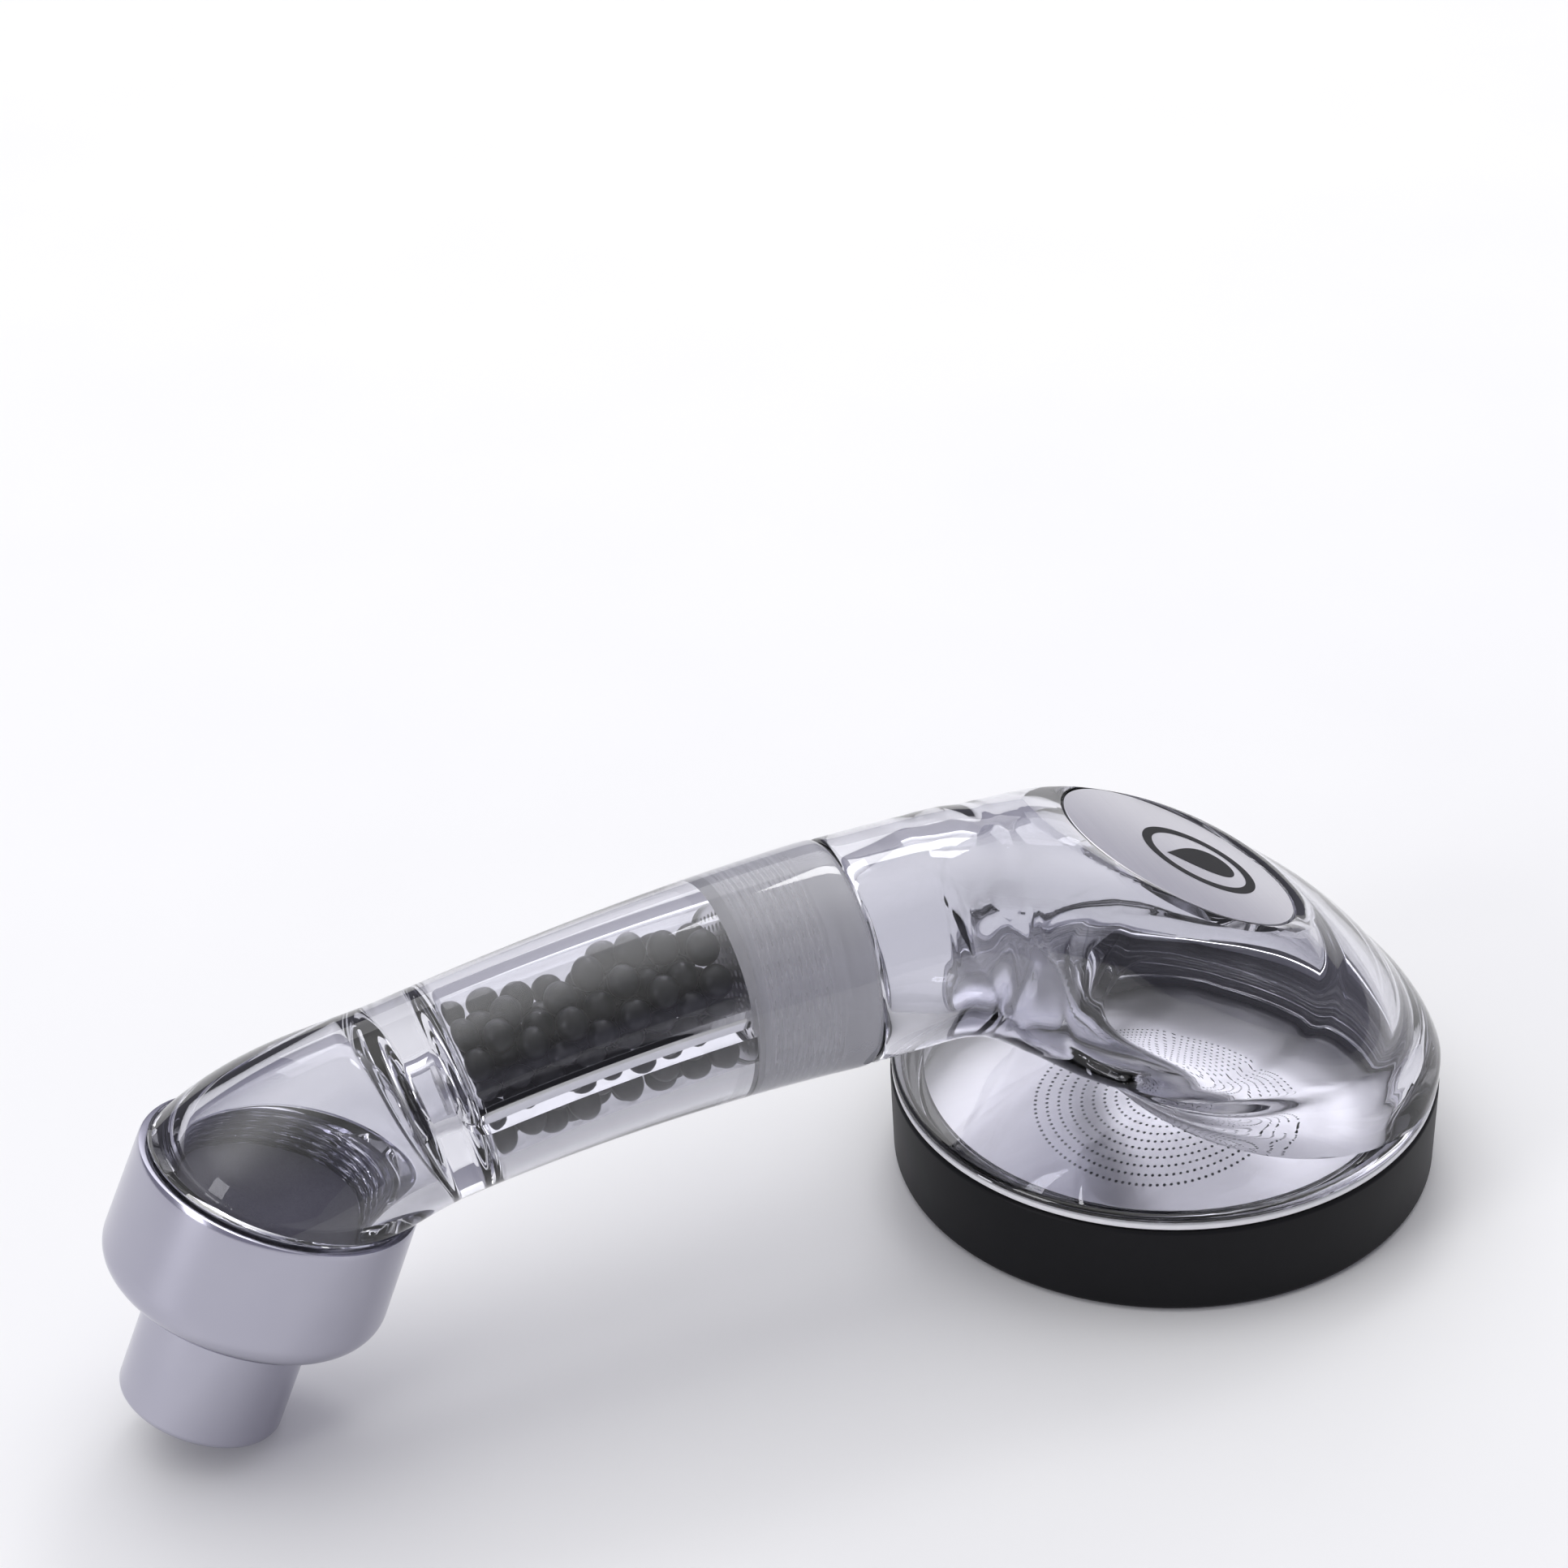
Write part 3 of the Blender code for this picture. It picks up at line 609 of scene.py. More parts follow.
pierced_tree, given, result = repeat_tree("pierced_disc", {
    "Disc Radius": "NodeSocketFloat", "Hole Radius": "NodeSocketFloat",
    "Hole Sides": "NodeSocketInt", "Thickness": "NodeSocketFloat",
    "Finish": "NodeSocketMaterial"})
rim_curve = add_node(pierced_tree, "GeometryNodeCurvePrimitiveCircle",
                     {"Radius": given.outputs["Disc Radius"], "Resolution": SIDES})
hole_curve = add_node(pierced_tree, "GeometryNodeCurvePrimitiveCircle",
                      {"Radius": given.outputs["Hole Radius"],
                       "Resolution": given.outputs["Hole Sides"]})
as_points = add_node(pierced_tree, "GeometryNodeMeshToPoints", {"Mesh": given.outputs["Geometry"]})
holes = add_node(pierced_tree, "GeometryNodeInstanceOnPoints",
                 {"Points": as_points.outputs["Points"],
                  "Instance": hole_curve.outputs["Curve"]})
outlines = add_node(pierced_tree, "GeometryNodeJoinGeometry")
real_holes = add_node(pierced_tree, "GeometryNodeRealizeInstances",
                      {"Geometry": holes.outputs["Instances"]},
                      {"Geometry": outlines.inputs["Geometry"]})
pierced_tree.links.new(rim_curve.outputs["Curve"], outlines.inputs["Geometry"])
sheet = add_node(pierced_tree, "GeometryNodeFillCurve", {"Curve": outlines.outputs["Geometry"]})
lift = add_node(pierced_tree, "ShaderNodeCombineXYZ", {"Z": given.outputs["Thickness"]})
walls = add_node(pierced_tree, "GeometryNodeExtrudeMesh",
                 {"Mesh": sheet.outputs["Mesh"], "Offset": lift.outputs["Vector"],
                  "Individual": False})
underside = add_node(pierced_tree, "GeometryNodeFlipFaces", {"Mesh": sheet.outputs["Mesh"]})
both = add_node(pierced_tree, "GeometryNodeJoinGeometry")
pierced_tree.links.new(walls.outputs["Mesh"], both.inputs["Geometry"])
pierced_tree.links.new(underside.outputs["Mesh"], both.inputs["Geometry"])
welded = add_node(pierced_tree, "GeometryNodeMergeByDistance",
                  {"Geometry": both.outputs["Geometry"], "Distance": 1e-6})
add_node(pierced_tree, "GeometryNodeSetMaterial",
         {"Geometry": welded.outputs["Geometry"], "Material": given.outputs["Finish"]},
         {"Geometry": result.inputs["Geometry"]})


def pierced_disc(name, spots, radius, hole_r, hole_sides, thickness, finish, axis, along):
    """A disc with holes at these spots, its lower face this far along an axis."""
    mesh = run_tree(name, pierced_tree, [(x, y, 0) for x, y in spots], {
        "Disc Radius": radius * MM, "Hole Radius": hole_r * MM, "Hole Sides": hole_sides,
        "Thickness": thickness * MM, "Finish": finish})
    origin, direction, side = axis
    turned = Matrix((side, np.cross(direction, side), direction)).transposed().to_4x4()
    mesh.transform(Matrix.Translation(Vector((origin + direction * along) * MM)) @ turned)
    return place(name, mesh, [], 30)


def honeycomb(radius, pitch):
    """Even spots in a honeycomb inside a circle."""
    rows = int(radius / pitch) + 2
    spots = [((i + 0.5 * (j % 2)) * pitch, j * pitch * math.sqrt(0.75))
             for i in range(-rows, rows + 1) for j in range(-rows, rows + 1)]
    return [s for s in spots if math.hypot(*s) < radius]


outlet_screen = pierced_disc(
    "outlet_screen_pierced", honeycomb(10.8, SCREEN_PITCH), OUTLET_SCREEN_R, SCREEN_HOLE_R,
    SCREEN_HOLE_SIDES, SCREEN_THICK, sheet_steel, neck, OUTLET_SCREEN_LEVEL)
belongs(outlet_screen, "handle", "stainless", "outlet_screen")
throat_low, throat_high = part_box("inlet_screen")
throat_up = arc_place(BEAD_BORE_END_ANGLE + 0.08)[1]
throat = (np.array((throat_low + throat_high) / 2) / MM,
          np.array((throat_up[2], 0, -throat_up[0])), throat_up)
inlet_screen = pierced_disc(
    "inlet_screen_pierced", honeycomb(3.0, INLET_PITCH), THROAT_R - GAP, INLET_HOLE_R,
    SCREEN_HOLE_SIDES, SCREEN_THICK, sheet_steel, throat, -SCREEN_THICK / 2)
belongs(inlet_screen, "handle", "stainless", "inlet_screen")


def rounded(corners, size, steps=3):
    """The corners of a turned profile, each rounded by about this size, except on the axis."""
    found = []
    corners = [np.array(c, float) for c in corners]
    for before, here, after in zip(corners[-1:] + corners[:-1], corners, corners[1:] + corners[:1]):
        if here[0] < 1e-6:
            found.append(here)
            continue
        ends = []
        for other in (before, after):
            reach = np.linalg.norm(other - here)
            ends.append(here + (other - here) / reach * min(size, 0.45 * reach))
        for t in np.linspace(0, 1, steps + 1):
            found.append(ends[0] * (1 - t) ** 2 + 2 * here * t * (1 - t) + ends[1] * t * t)
    return found


def turned_piece(name, profile, axis, finishes, round_by=0.25, sharp=38):
    """A turned piece from the (radius, distance along the axis) corners of its half section."""
    return skin(name, [hoop(axis, along, radius) for radius, along in rounded(profile, round_by)],
                finishes, sharp=sharp)


def box_profile(inner_r, outer_r, low, high):
    return [(inner_r, low), (outer_r, low), (outer_r, high), (inner_r, high)]


# Green nylon: moulded, with a faint blotch where the pigment flowed.
PIGMENT_BLOTCH = 3
green_nylon = patchy_finish("moulded_green_nylon", PIGMENT_BLOTCH, ("#14291f", "#1c3d2c"),
                            Roughness=0.4)[0]
screen_frame = turned_piece("screen_frame_moulded", box_profile(12.2, 13.9, -18.7, -17.7), neck,
                            [green_nylon])
belongs(screen_frame, "handle", "green_plastic", "screen_frame")

# Silicone: moulded seal rubber, milky white with a soft sheen.
MILKY_CLOUD = 2
silicone = patchy_finish("moulded_white_silicone", MILKY_CLOUD, ("#e9e9ec", "#f6f6f7"),
                         Roughness=0.35)[0]
NECK_ORING_R = 13.3
NECK_ORING_THICK = 1.5
NECK_ORING_LEVEL = -2.5


def o_ring(name, axis, level, middle_r, thick, finish):
    """A seal ring of round section, which lies at this level along an axis."""
    return skin(name, [
        hoop(axis, level + thick / 2 * math.sin(a), middle_r + thick / 2 * math.cos(a))
        for a in np.linspace(0, math.tau, 16, endpoint=False)], [finish], sharp=180)


neck_seal = o_ring("neck_seal_ring", neck, NECK_ORING_LEVEL, NECK_ORING_R, NECK_ORING_THICK,
                   silicone)
belongs(neck_seal, "neck_seal", "white_rubber", "neck_o_ring")


# Tail cup. A satin chrome cup screws onto the bell's spigot and clamps the filter under it. It is
# zinc, cast, turned and plated.
CUP_BORE_R = 18.3
CUP_FLOOR = 11.5
CUP_R = 21.1
CUP_RIM_R = 20.7
CUP_LONG = 20.2
CUP_ROUND = 4.0
FLOOR_BORE_R = 9.2

# Satin chrome plating: a bluish grey metal whose fine blast texture blurs what it mirrors.
BLAST_GRAIN = 0.25
BLAST_DEPTH = 0.002
PLATING_CLOUD = 9
chrome, tree, surface, at, cloud = patchy_finish(
    "satin_chrome_plating", PLATING_CLOUD, ("#acabb8", "#b5b4c0"), Metallic=1.0)
add_node(tree, "ShaderNodeMapRange", {"Value": cloud, "To Min": 0.18, "To Max": 0.24},
         {"Result": surface["Roughness"]})
blasted = add_node(tree, "ShaderNodeTexNoise", {"Vector": at, "Scale": 1 / (BLAST_GRAIN * MM)})
add_node(tree, "ShaderNodeBump",
         {"Height": blasted.outputs["Fac"], "Distance": BLAST_DEPTH * MM, "Strength": 0.35},
         {"Normal": surface["Normal"]})

cup = [hoop(tail, along, r) for r, along in [
    (CUP_BORE_R + 0.5, 0.15), (CUP_RIM_R - 0.45, 0), (CUP_RIM_R - 0.12, 0.12), (CUP_RIM_R, 0.45)]]
cup += [hoop(tail, along, CUP_RIM_R + (CUP_R - CUP_RIM_R) * along / (CUP_LONG - CUP_ROUND))
        for along in np.linspace(1, CUP_LONG - CUP_ROUND, 12)]
for angle in np.linspace(0, math.pi / 2, 12)[1:]:
    cup.append(hoop(tail, CUP_LONG - CUP_ROUND + CUP_ROUND * math.sin(angle),
                    CUP_R - CUP_ROUND + CUP_ROUND * math.cos(angle)))
cup += [hoop(tail, along, r) for r, along in [
    (FLOOR_BORE_R + 0.4, CUP_LONG), (FLOOR_BORE_R, CUP_LONG - 0.4),
    (FLOOR_BORE_R, CUP_FLOOR + 0.3), (FLOOR_BORE_R + 0.3, CUP_FLOOR),
    (CUP_BORE_R - 0.3, CUP_FLOOR), (CUP_BORE_R, CUP_FLOOR - 0.3)]]
for along in np.arange(CUP_FLOOR - 0.6, 0.5, -CUP_THREAD_PITCH / 9):
    cup.append(hoop(tail, along, thread(CUP_BORE_R + 0.7, -0.6, along,
                                        CUP_THREAD_PITCH, 1.2, 8.2)))
tail_cup = skin("tail_cup_plated", cup, [chrome])
belongs(tail_cup, "cup", "chrome", "tail_cup")

# Nitrile rubber: moulded black seal rubber, dull with a faint bloom.
BLOOM_PATCH = 1.5
BLOOM_DEPTH = 0.01
nitrile, tree, surface, at, bloom = patchy_finish(
    "moulded_black_nitrile", BLOOM_PATCH, ("#1c1c1e", "#2a2a2c"), detail=4.0, Roughness=0.6)
add_node(tree, "ShaderNodeBump",
         {"Height": bloom, "Distance": BLOOM_DEPTH * MM, "Strength": 0.3},
         {"Normal": surface["Normal"]})

cup_seal = turned_piece("cup_seal_ring", box_profile(15.3, CUP_BORE_R - GAP, 8.8, 11.2), tail,
                        [nitrile])
belongs(cup_seal, "cup_pack", "black_rubber", "cup_seal")


# Filter. A felt disc on a ribbed ring lies in the bell's mouth and catches grit from the pipe. The
# felt is needled polyester, the ring moulded acetal.

# Needled felt: grey fibres in every direction, matt and slightly fluffy.
FIBRE_TUFT = 0.5
FLUFF_DEPTH = 0.15
felt, tree, surface, at, fibres = patchy_finish(
    "needled_grey_felt", FIBRE_TUFT, ("#57565f", "#85848d"), detail=6.0, distortion=2.5,
    Roughness=0.95)
add_node(tree, "ShaderNodeBump",
         {"Height": fibres, "Distance": FLUFF_DEPTH * MM, "Strength": 0.8},
         {"Normal": surface["Normal"]})
FILTER_R = 14.9
filter_disc = turned_piece(
    "filter_disc_felt", [(0, 5.4), (FILTER_R, 5.4), (FILTER_R, 7.6), (0, 7.6)], tail, [felt], 0.7)
belongs(filter_disc, "cup_pack", "filter_felt", "filter_disc")

# Acetal: a waxy white moulding.
WAXY_CLOUD = 2
acetal = patchy_finish("moulded_white_acetal", WAXY_CLOUD, ("#dcdcda", "#ebebe9"),
                       Roughness=0.38)[0]
carrier = turned_piece("filter_carrier_ring", box_profile(11.6, FILTER_R, 7.9, 11.2), tail,
                       [acetal], 0.5)
belongs(carrier, "cup_pack", "white_plastic", "filter_carrier")


# Hose swivel. A turned brass socket, plated like the cup, turns in the cup's floor so that the hose
# doesn't twist. It has a G1/2 thread inside for the hose, and a spring clip holds its stem.
STEM_R = 6.8
STEM_TOP = 8.2
TUBE_R = 12.2
TUBE_TOP = CUP_LONG + GAP
TUBE_END = 40.0
TUBE_ROUND = 1.05
HOSE_BORE_R = 10.2
HOSE_BORE_TOP = 28.0
PIPE_THREAD_PITCH = 1.814
WATERWAY_R = 5.0
CLIP_LOW, CLIP_HIGH, CLIP_GROOVE_R = 8.9, 10.2, 5.9
SWIVEL_ORING_R = 8.0
SWIVEL_ORING_THICK = 1.7

socket = [hoop(tail, along, r) for r, along in [
    (STEM_R, TUBE_TOP - 0.4), (STEM_R + 0.4, TUBE_TOP), (TUBE_R - 0.4, TUBE_TOP),
    (TUBE_R, TUBE_TOP + 0.4)]]
for angle in np.linspace(0, math.pi / 2, 9):
    socket.append(hoop(tail, TUBE_END - TUBE_ROUND + TUBE_ROUND * math.sin(angle),
                       TUBE_R - TUBE_ROUND + TUBE_ROUND * math.cos(angle)))
for along in np.arange(TUBE_END - 0.9, HOSE_BORE_TOP + 0.3, -PIPE_THREAD_PITCH / 9):
    ridge = thread(HOSE_BORE_R + 0.3, -0.55, along, PIPE_THREAD_PITCH, HOSE_BORE_TOP + 2.6,
                   TUBE_END - 0.8, 1)
    socket.append(hoop(tail, along, ridge))
socket += [hoop(tail, along, r) for r, along in [
    (HOSE_BORE_R + 0.2, HOSE_BORE_TOP), (WATERWAY_R + 0.3, HOSE_BORE_TOP),
    (WATERWAY_R, HOSE_BORE_TOP - 0.3), (WATERWAY_R, STEM_TOP + 0.3),
    (WATERWAY_R + 0.3, STEM_TOP), (STEM_R - 0.4, STEM_TOP), (STEM_R, STEM_TOP + 0.35),
    (STEM_R, CLIP_LOW), (CLIP_GROOVE_R, CLIP_LOW), (CLIP_GROOVE_R, CLIP_HIGH),
    (STEM_R, CLIP_HIGH)]]
swivel_socket = skin("swivel_socket_plated", socket, [chrome])
belongs(swivel_socket, "hose_swivel", "chrome", "swivel_socket")

# Spring steel: blued a little by its heat treatment, with a rolled grain.
ROLLED_GRAIN = 1.2
spring_steel = patchy_finish("rolled_spring_steel", ROLLED_GRAIN, ("#9a9aa2", "#b4b4ba"),
                             detail=4.0, Metallic=1.0, Roughness=0.35)[0]
clip = turned_piece("swivel_clip_ring", box_profile(6.2, 9.4, 9.2, 9.9), tail, [spring_steel],
                    0.12)
belongs(clip, "hose_swivel", "stainless", "swivel_clip")
washer = turned_piece("swivel_washer_ring", box_profile(STEM_R + GAP, 11.0, 10.2, 11.2), tail,
                      [acetal], 0.2)
belongs(washer, "cup", "white_plastic", "swivel_washer")
for name, along in (("upper", 14.0), ("lower", 17.4)):
    seal = o_ring(f"swivel_seal_{name}", tail, along, SWIVEL_ORING_R, SWIVEL_ORING_THICK, nitrile)
    belongs(seal, "cup", "black_rubber", f"swivel_o_ring_{name}")
restrictor = turned_piece("flow_restrictor_insert", box_profile(1.8, 4.7, 21.0, 25.0), tail,
                          [acetal])
belongs(restrictor, "hose_swivel", "white_plastic", "flow_restrictor")
hose_washer = turned_piece("hose_washer_ring", box_profile(5.6, 9.7, 28.3, 30.3), tail,
                           [nitrile], 0.3)
belongs(hose_washer, "hose_swivel", "black_rubber", "hose_washer")


# Head shell. One clear polycarbonate moulding: a threaded spigot and neck, a hood that fans out
# from the neck with a lip along its lower edge, and a flange with a skirt for the screw ring.
NECK_R = 17.1
SPIGOT_R = 14.0
SPIGOT_LONG = 17.5
NECK_BORE_R = 10.5
SEAL_GROOVE_R = 12.2
SEAL_GROOVE_LOW = -3.6
SEAL_GROOVE_HIGH = -1.4
FAN = np.array((22.8, 0.0, 17.3))
# Each station: the section's angle above the level, its near and far distance from the fan's line,
# its half width and its squareness, then where the lip's top and foot run and how proud it stands.
HOOD = np.array((
    (90, 18.25, 52.45, 17.1, 2.0, 54.0, 40.0, 0.0),
    (83, 18.15, 52.5, 17.5, 2.04, 44.0, 31.0, 0.02),
    (76, 18.1, 52.6, 18.2, 2.1, 39.5, 27.0, 0.035),
    (60, 18.4, 54.4, 21.6, 2.55, 27.0, 19.0, 0.04),
    (41, 19.8, 58.4, 27.0, 2.85, 26.5, 18.0, 0.04),
    (22, 23.2, 66.8, 31.6, 2.5, 30.5, 14.0, 0.045),
    (8, 26.6, 77.0, 34.6, 2.1, 64.0, 0.0, 0.05),
    (0, 28.0, 83.0, 35.4, 2.0, 95.0, -10.0, 0.05),
))
HOOD_WALL = 4.2
FLANGE_TOP = 2.8
FLANGE_FOOT = 1.6
FLANGE_R = 42.8
SKIRT_R = 40.8
SKIRT_FOOT = -9.6
CHAMBER_R = 37.6
CHAMBER_CEILING = -2.6
RING_THREAD_PITCH = 2.0
# Where the hood's foot is nearer to the face's axis than this, the flange's corners stand evenly.
FOOT_APART = 30
FOOT_BLEND = 10
# How far out the hood may reach in its lowest degrees, and its hollow in the chamber.
HOOD_FOOT_R = 42.95
HOOD_FOOT_ANGLE = 9
HOLLOW_R = 36.6
HOLLOW_GROWS = 8
HOLLOW_GROWS_BY = 8
BADGE_TILT = math.radians(29)
BADGE_FACE_ABOVE_MIDDLE = 0.5
BADGE_R = 19.4
BADGE_RECESS_R = 19.8
BADGE_RECESS = 2.0


def station_at(angle):
    """The hood's numbers at any angle, on a smooth curve through its stations."""
    angles = HOOD[:, 0]
    i = int(np.clip(np.searchsorted(-angles, -angle) - 1, 0, len(HOOD) - 2))
    t = (angles[i] - angle) / (angles[i] - angles[i + 1])
    a, b = HOOD[max(i - 1, 0)], HOOD[i]
    c, d = HOOD[i + 1], HOOD[min(i + 2, len(HOOD) - 1)]
    return 0.5 * (2 * b + (c - a) * t + (2 * a - 5 * b + 4 * c - d) * t * t
                  + (3 * b - a - 3 * c + d) * t ** 3)


def hood_outline(angle, wall=0.0):
    """A section of the hood, or of the hollow inside it, this much smaller all round."""
    _, near, far, width, power, lip_top, lip_foot, proud = station_at(angle)
    lean = math.radians(angle)
    out = np.array((math.cos(lean), 0, math.sin(lean)))
    near, far, width = near + wall, far - wall, width - wall
    points = oval(FAN + out * (near + far) / 2, out, (far - near) / 2, width, power)
    if not wall:
        share = np.clip(((points - FAN) @ out - lip_foot) / (lip_top - lip_foot), 0, 1)
        points[:, 1] *= 1 + proud * (1 - (2 * share - 1) ** 4) ** 0.6
    return points


def from_face_axis(points):
    """How far each point is from the axis of the round face."""
    return np.hypot(points[:, 0] - face[0][0], points[:, 1])


def kept_within(points, radius, lowest):
    """The points, drawn in to this distance from the face's axis and lifted to this level."""
    points = points.copy()
    scale = np.minimum(1, radius / np.maximum(from_face_axis(points), 1e-6))
    points[:, 0] = face[0][0] + (points[:, 0] - face[0][0]) * scale
    points[:, 1] *= scale
    points[:, 2] = np.maximum(points[:, 2], lowest)
    return points


def face_outline(foot, radius, height):
    """A circle round the face's axis whose corners stand beside those of the hood's foot."""
    bearing = np.arctan2(foot[:, 1], foot[:, 0] - face[0][0]) % math.tau
    share = ease((from_face_axis(foot) - FOOT_APART) / FOOT_BLEND)
    bearing = share * bearing + (1 - share) * turn
    radius = np.broadcast_to(radius, turn.shape)
    level = np.full(SIDES, face[0][2] + height)
    return np.stack([face[0][0] + radius * np.cos(bearing), radius * np.sin(bearing), level], 1)


flange_top_z = face[0][2] + FLANGE_TOP
shell = [hoop(neck, -SPIGOT_LONG, NECK_BORE_R + 0.4), hoop(neck, -SPIGOT_LONG, SPIGOT_R - 1.1),
         hoop(neck, -SPIGOT_LONG + 0.5, SPIGOT_R - 0.65)]
for along in np.arange(-SPIGOT_LONG + 0.8, -4.0, NECK_THREAD_PITCH / 9):
    shell.append(hoop(neck, along, thread(SPIGOT_R - 0.6, 0.55, along,
                                          NECK_THREAD_PITCH, -16.4, -5.6)))
shell += [hoop(neck, along, r) for along, r in [
    (SEAL_GROOVE_LOW - 0.1, SPIGOT_R), (SEAL_GROOVE_LOW, SEAL_GROOVE_R),
    (SEAL_GROOVE_HIGH, SEAL_GROOVE_R), (SEAL_GROOVE_HIGH + 0.1, SPIGOT_R), (-0.05, SPIGOT_R)]]
last_frosted = len(shell)
shell += [hoop(neck, along, r) for along, r in [
    (0, NECK_R - 0.6), (0.15, NECK_R - 0.25), (0.5, NECK_R - 0.04), (1.0, NECK_R)]]
shell += [hoop(neck, along, NECK_R) for along in np.linspace(3, FAN[0] - SEAM_X - 1, 6)]
for angle in np.concatenate([np.linspace(90, 8, 84), np.linspace(7, 0.5, 14)]):
    reach = HOOD_FOOT_R if angle < HOOD_FOOT_ANGLE else math.inf
    shell.append(kept_within(hood_outline(angle), reach, flange_top_z))
foot = shell[-1]
edge = np.maximum(from_face_axis(foot), FLANGE_R - 0.8)
shell.append(face_outline(foot, edge, FLANGE_TOP - 0.02))
for inset, drop in ((0.45, 0.1), (0.15, 0.35), (0, 0.8)):
    shell.append(face_outline(foot, np.maximum(edge, FLANGE_R - inset), FLANGE_TOP - drop))
shell.append(face_outline(foot, FLANGE_R, FLANGE_FOOT + 0.15))
shell.append(face_outline(foot, FLANGE_R - 0.2, FLANGE_FOOT))
shell.append(face_outline(foot, SKIRT_R, FLANGE_FOOT))
for drop in np.arange(0.6, -SKIRT_FOOT - 0.2, RING_THREAD_PITCH / 8):
    ridge = thread(SKIRT_R - 0.55, 0.5, -drop, RING_THREAD_PITCH, SKIRT_FOOT + 1.4, -1.6)
    shell.append(face_outline(foot, ridge, -drop))
shell.append(face_outline(foot, SKIRT_R - 0.6, SKIRT_FOOT + 0.2))
shell.append(face_outline(foot, SKIRT_R - 0.9, SKIRT_FOOT))
shell.append(face_outline(foot, CHAMBER_R + 0.3, SKIRT_FOOT))
shell.append(face_outline(foot, CHAMBER_R, SKIRT_FOOT + 0.3))
shell += [face_outline(foot, CHAMBER_R, height)
          for height in np.linspace(SKIRT_FOOT + 1.5, CHAMBER_CEILING - 0.7, 6)]
shell.append(face_outline(foot, CHAMBER_R - 0.2, CHAMBER_CEILING - 0.2))
mouth = kept_within(hood_outline(0.2, HOOD_WALL), HOLLOW_R, 0)
for spread, rise in ((0.7, 0.0), (0.2, 0.2), (0.0, 0.8), (0.0, 2.0)):
    level = mouth.copy()
    outward = (mouth - mouth.mean(0)) * (1, 1, 0)
    level += outward / np.linalg.norm(outward, axis=1)[:, None] * spread
    level[:, 2] = face[0][2] + CHAMBER_CEILING + rise
    shell.append(kept_within(level, HOLLOW_R + 0.6, 0))
for angle in np.concatenate([np.linspace(0.2, 7, 12), np.linspace(8, 88, 80)]):
    reach = HOLLOW_R + HOLLOW_GROWS_BY * ease(angle / HOLLOW_GROWS)
    shell.append(kept_within(hood_outline(angle, HOOD_WALL), reach, 0))
for share in np.linspace(0.96, 0, 14):
    widened = NECK_BORE_R + (NECK_R - HOOD_WALL - NECK_BORE_R) * ease(share)
    shell.append(hoop(neck, 1.5 + 12.9 * share, widened))
shell += [hoop(neck, along, NECK_BORE_R) for along in np.linspace(0, -SPIGOT_LONG + 0.4, 8)]
bands = [1 if i < last_frosted - 1 else 0 for i in range(len(shell))]
head_shell = skin("head_shell_clear", shell, [clear, frosted], bands)

# An insert in the mould forms the flat and the recess for the badge.
badge_low, badge_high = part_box("badge_plate")
badge_up = np.array((math.sin(BADGE_TILT), 0, math.cos(BADGE_TILT)))
badge_origin = np.array((badge_low + badge_high) / 2) / MM + badge_up * BADGE_FACE_ABOVE_MIDDLE
badge = (badge_origin, badge_up, np.array((math.cos(BADGE_TILT), 0, -math.sin(BADGE_TILT))))
insert_profile = [(0, -BADGE_RECESS), (BADGE_RECESS_R, -BADGE_RECESS),
                  (BADGE_RECESS_R + 0.12, -0.15), (BADGE_RECESS_R + 0.4, 0), (60, 0), (60, 30),
                  (0, 30)]
insert = skin("badge_insert", [hoop(badge, along, r) for r, along in insert_profile], [clear])
cut = head_shell.modifiers.new("badge_insert", "BOOLEAN")
cut.operation, cut.solver, cut.object = "DIFFERENCE", "EXACT", insert
graph = bpy.context.evaluated_depsgraph_get()
cut_mesh = bpy.data.meshes.new_from_object(head_shell.evaluated_get(graph), depsgraph=graph)
head_shell.modifiers.clear()
head_shell.data = cut_mesh
cut_mesh.shade_smooth()
cut_mesh.set_sharp_from_angle(angle=math.radians(SHARP_DEGREES))
bpy.data.objects.remove(insert)
belongs(head_shell, "head", "clear_plastic", "head_shell")


# Screw ring. It holds the spray plate against the skirt, and unscrews to clean the plate. It is
# black ABS, moulded with a satin texture, with a thread inside.
RING_R = 43.0
RING_FOOT_R = 42.7
RING_HIGH = 15.3
RING_BORE_R = 41.2
RING_LIP_R = 37.2
RING_LIP = 2.4
FOOT_ROUND = 1.2
TOP_ROUND = 0.6

# Satin ABS: near black, and its fine texture spreads the light.
FLOW_PATCH = 8
MOULD_SATIN = 0.4
MOULD_SATIN_DEPTH = 0.01
black_abs, tree, surface, at, flow = patchy_finish(
    "satin_black_abs", FLOW_PATCH, ("#101013", "#161619"), Roughness=0.45,
    Specular_IOR_Level=0.16)
satin = add_node(tree, "ShaderNodeTexNoise",
                 {"Vector": at, "Scale": 1 / (MOULD_SATIN * MM), "Detail": 4.0})
add_node(tree, "ShaderNodeBump",
         {"Height": satin.outputs["Fac"], "Distance": MOULD_SATIN_DEPTH * MM, "Strength": 0.4},
         {"Normal": surface["Normal"]})
ring = [(RING_FOOT_R - FOOT_ROUND * (1 - math.sin(a)), -RING_HIGH + FOOT_ROUND * (1 - math.cos(a)))
        for a in np.linspace(0, math.pi / 2, 8)]
ring += [(RING_R - TOP_ROUND * (1 - math.cos(a)), -TOP_ROUND * (1 - math.sin(a)))
         for a in np.linspace(0, math.pi / 2, 6)]
ring += [(RING_BORE_R + 0.75, 0), (RING_BORE_R + 0.6, -0.2)]
ring = [hoop(face, along, r) for r, along in ring]
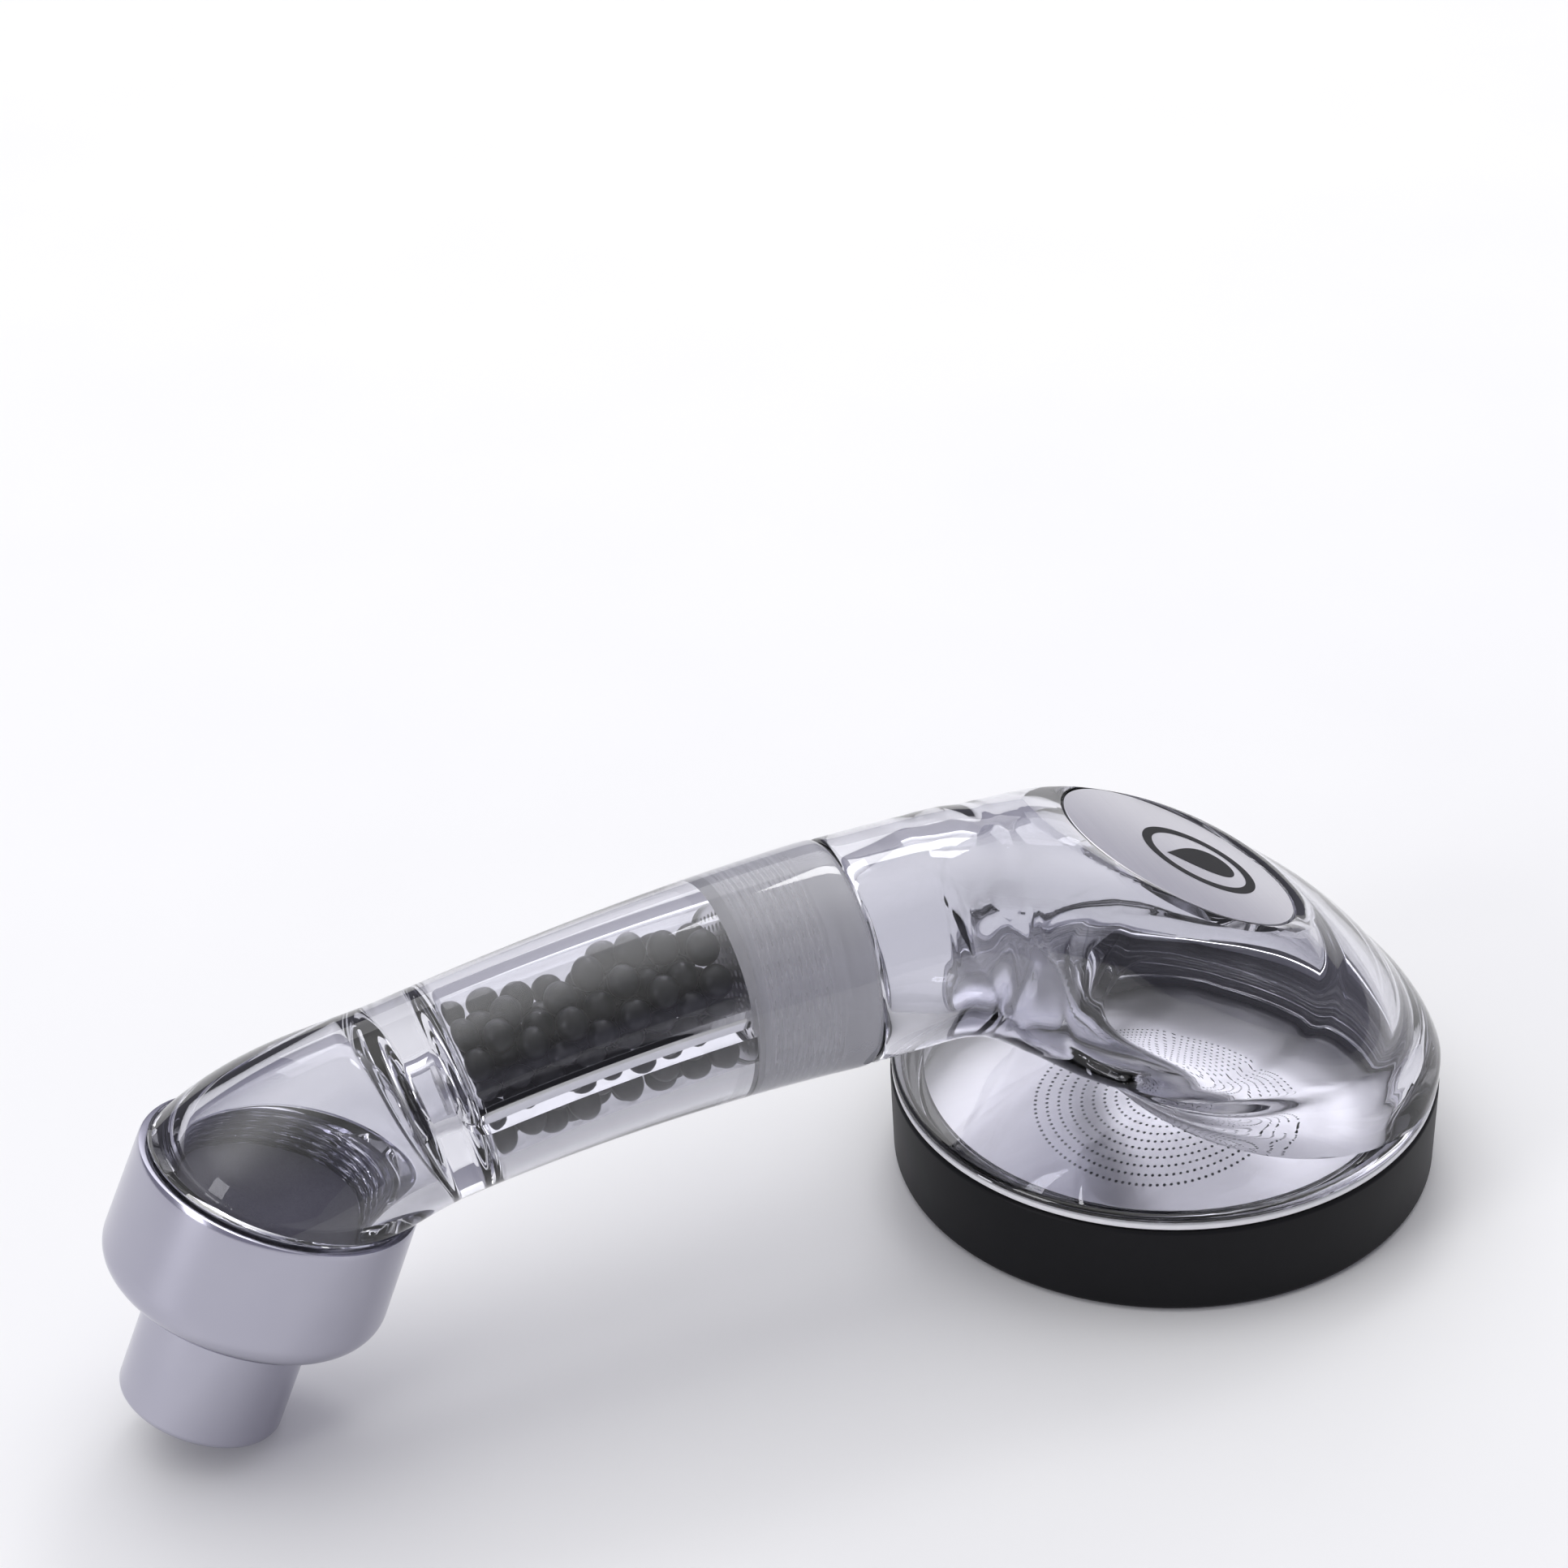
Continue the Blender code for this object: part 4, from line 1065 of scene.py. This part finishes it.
for drop in np.arange(0.5, RING_HIGH - RING_LIP - 1.2, RING_THREAD_PITCH / 8):
    ring.append(hoop(face, -drop, thread(RING_BORE_R + 0.6, -0.5, -drop,
                                         RING_THREAD_PITCH, -10.8, -1.8)))
ring += [hoop(face, along - RING_HIGH, r) for r, along in [
    (RING_BORE_R + 0.2, RING_LIP + 0.3), (RING_BORE_R, RING_LIP), (RING_LIP_R + 0.25, RING_LIP),
    (RING_LIP_R, RING_LIP - 0.25), (RING_LIP_R, 0.7), (RING_LIP_R + 0.25, 0.2),
    (RING_LIP_R + 0.7, 0)]]
face_ring = skin("face_ring_moulded", ring, [black_abs])
belongs(face_ring, "spray_ring", "black_plastic", "face_ring")
rim_seal = turned_piece("rim_seal_ring", box_profile(41.1, 42.75, GAP, 1.3), face, [silicone],
                        0.3)
belongs(rim_seal, "head", "white_rubber", "rim_seal")


# Spray plate. A stainless sheet with rings of fine laser-cut holes, sealed against the skirt by a
# flat gasket. The real holes are 0.3 mm; they are drawn at 0.5 mm so that they show.
PLATE_LOW = RING_LIP + GAP - RING_HIGH
PLATE_THICK = 0.8
PLATE_R = 40.9
HOLE_RINGS = 12
HOLE_RING_STEP = 1.7
HOLES_ADDED_PER_RING = 10
HOLE_R = 0.25
HOLE_SIDES = 8
spots = []
for k in range(1, HOLE_RINGS + 1):
    for i in range(HOLES_ADDED_PER_RING * k):
        bearing = math.tau * (i + 0.5 * (k % 2)) / (HOLES_ADDED_PER_RING * k)
        spots.append((HOLE_RING_STEP * k * math.cos(bearing),
                      HOLE_RING_STEP * k * math.sin(bearing)))
spray_plate = pierced_disc("spray_plate_pierced", spots, PLATE_R, HOLE_R, HOLE_SIDES, PLATE_THICK,
                           sheet_steel, face, PLATE_LOW)
belongs(spray_plate, "plate_pack", "stainless", "spray_plate")
gasket = turned_piece("plate_gasket_ring", box_profile(37.8, PLATE_R, -11.5, -9.9), face,
                      [nitrile], 0.2)
belongs(gasket, "plate_pack", "black_rubber", "plate_gasket")


# Badge. A thin brushed steel disc glued into the recess on the hood, printed with a plain drop in a
# hoop. Its pad is white acrylic foam tape.
HOOP_R = 9.6
HOOP_LINE = 1.6
DROP_LONG = 12.5
DROP_WIDE = 8.6
MARK_OFF_CENTRE = 4.0
PLATE_FACE = -0.1
PRINT_LEVEL = -0.095
PRINT_THICK = 0.05

# Acrylic foam tape: milky white, with the soft sheen of the seals.
PAD_R = 18.6
pad = turned_piece("badge_adhesive_pad", [(0, -1.7), (PAD_R, -1.7), (PAD_R, -1.2), (0, -1.2)],
                   badge, [silicone], 0.1)
belongs(pad, "head", "white_rubber", "badge_adhesive")

# Brushed stainless: long parallel scratches across the disc.
SCRATCH_LONG = 12
SCRATCH_SQUEEZE = 60.0
SCRATCH_DEPTH = 0.004
brushed, tree, surface, at, scratches = patchy_finish(
    "brushed_stainless", SCRATCH_LONG, ("#e2e1e5", "#f3f2f4"), detail=6.0,
    stretch=(SCRATCH_SQUEEZE, 1.0, SCRATCH_SQUEEZE), Metallic=1.0)
add_node(tree, "ShaderNodeMapRange", {"Value": scratches, "To Min": 0.26, "To Max": 0.42},
         {"Result": surface["Roughness"]})
add_node(tree, "ShaderNodeBump",
         {"Height": scratches, "Distance": SCRATCH_DEPTH * MM, "Strength": 0.4},
         {"Normal": surface["Normal"]})
badge_plate = turned_piece(
    "badge_plate_disc", [(0, -0.9), (BADGE_R, -0.9), (BADGE_R, PLATE_FACE), (0, PLATE_FACE)], badge,
    [brushed], 0.12)
belongs(badge_plate, "head", "stainless", "badge_plate")

# Screen print: black enamel ink, smooth with a low gloss.
INK_PATCH = 0.6
ink = patchy_finish("screen_printed_black_ink", INK_PATCH, ("#050506", "#0b0b0d"), detail=3.0,
                    Roughness=0.45, Specular_IOR_Level=0.15)[0]


def printed(name, outer, inner):
    """A thin layer of ink on the badge's face between two flat outlines."""
    origin, direction, side = badge
    layers = []
    for outline, height in ((inner, PRINT_LEVEL), (outer, PRINT_LEVEL),
                            (outer, PRINT_LEVEL + PRINT_THICK), (inner, PRINT_LEVEL + PRINT_THICK)):
        layers.append(origin + direction * height + (outline[:, :1] + MARK_OFF_CENTRE) * side
                      + outline[:, 1:] * ACROSS)
    made = skin(name, layers, [ink])
    belongs(made, "head", "black_plastic")


circle = np.stack([np.cos(turn), np.sin(turn)], 1)
drop = np.stack([-DROP_LONG / 2 * np.cos(turn),
                 DROP_WIDE / 2 * 1.3 * np.sin(turn) * np.sin(turn / 2) ** 1.3], 1)
printed("badge_hoop_print", circle * HOOP_R, circle * (HOOP_R - HOOP_LINE))
printed("badge_drop_print", drop, drop * 0)

size = {"cad": [list(corner) for corner in cad_box],
        "visual": [list(corner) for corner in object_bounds()]}
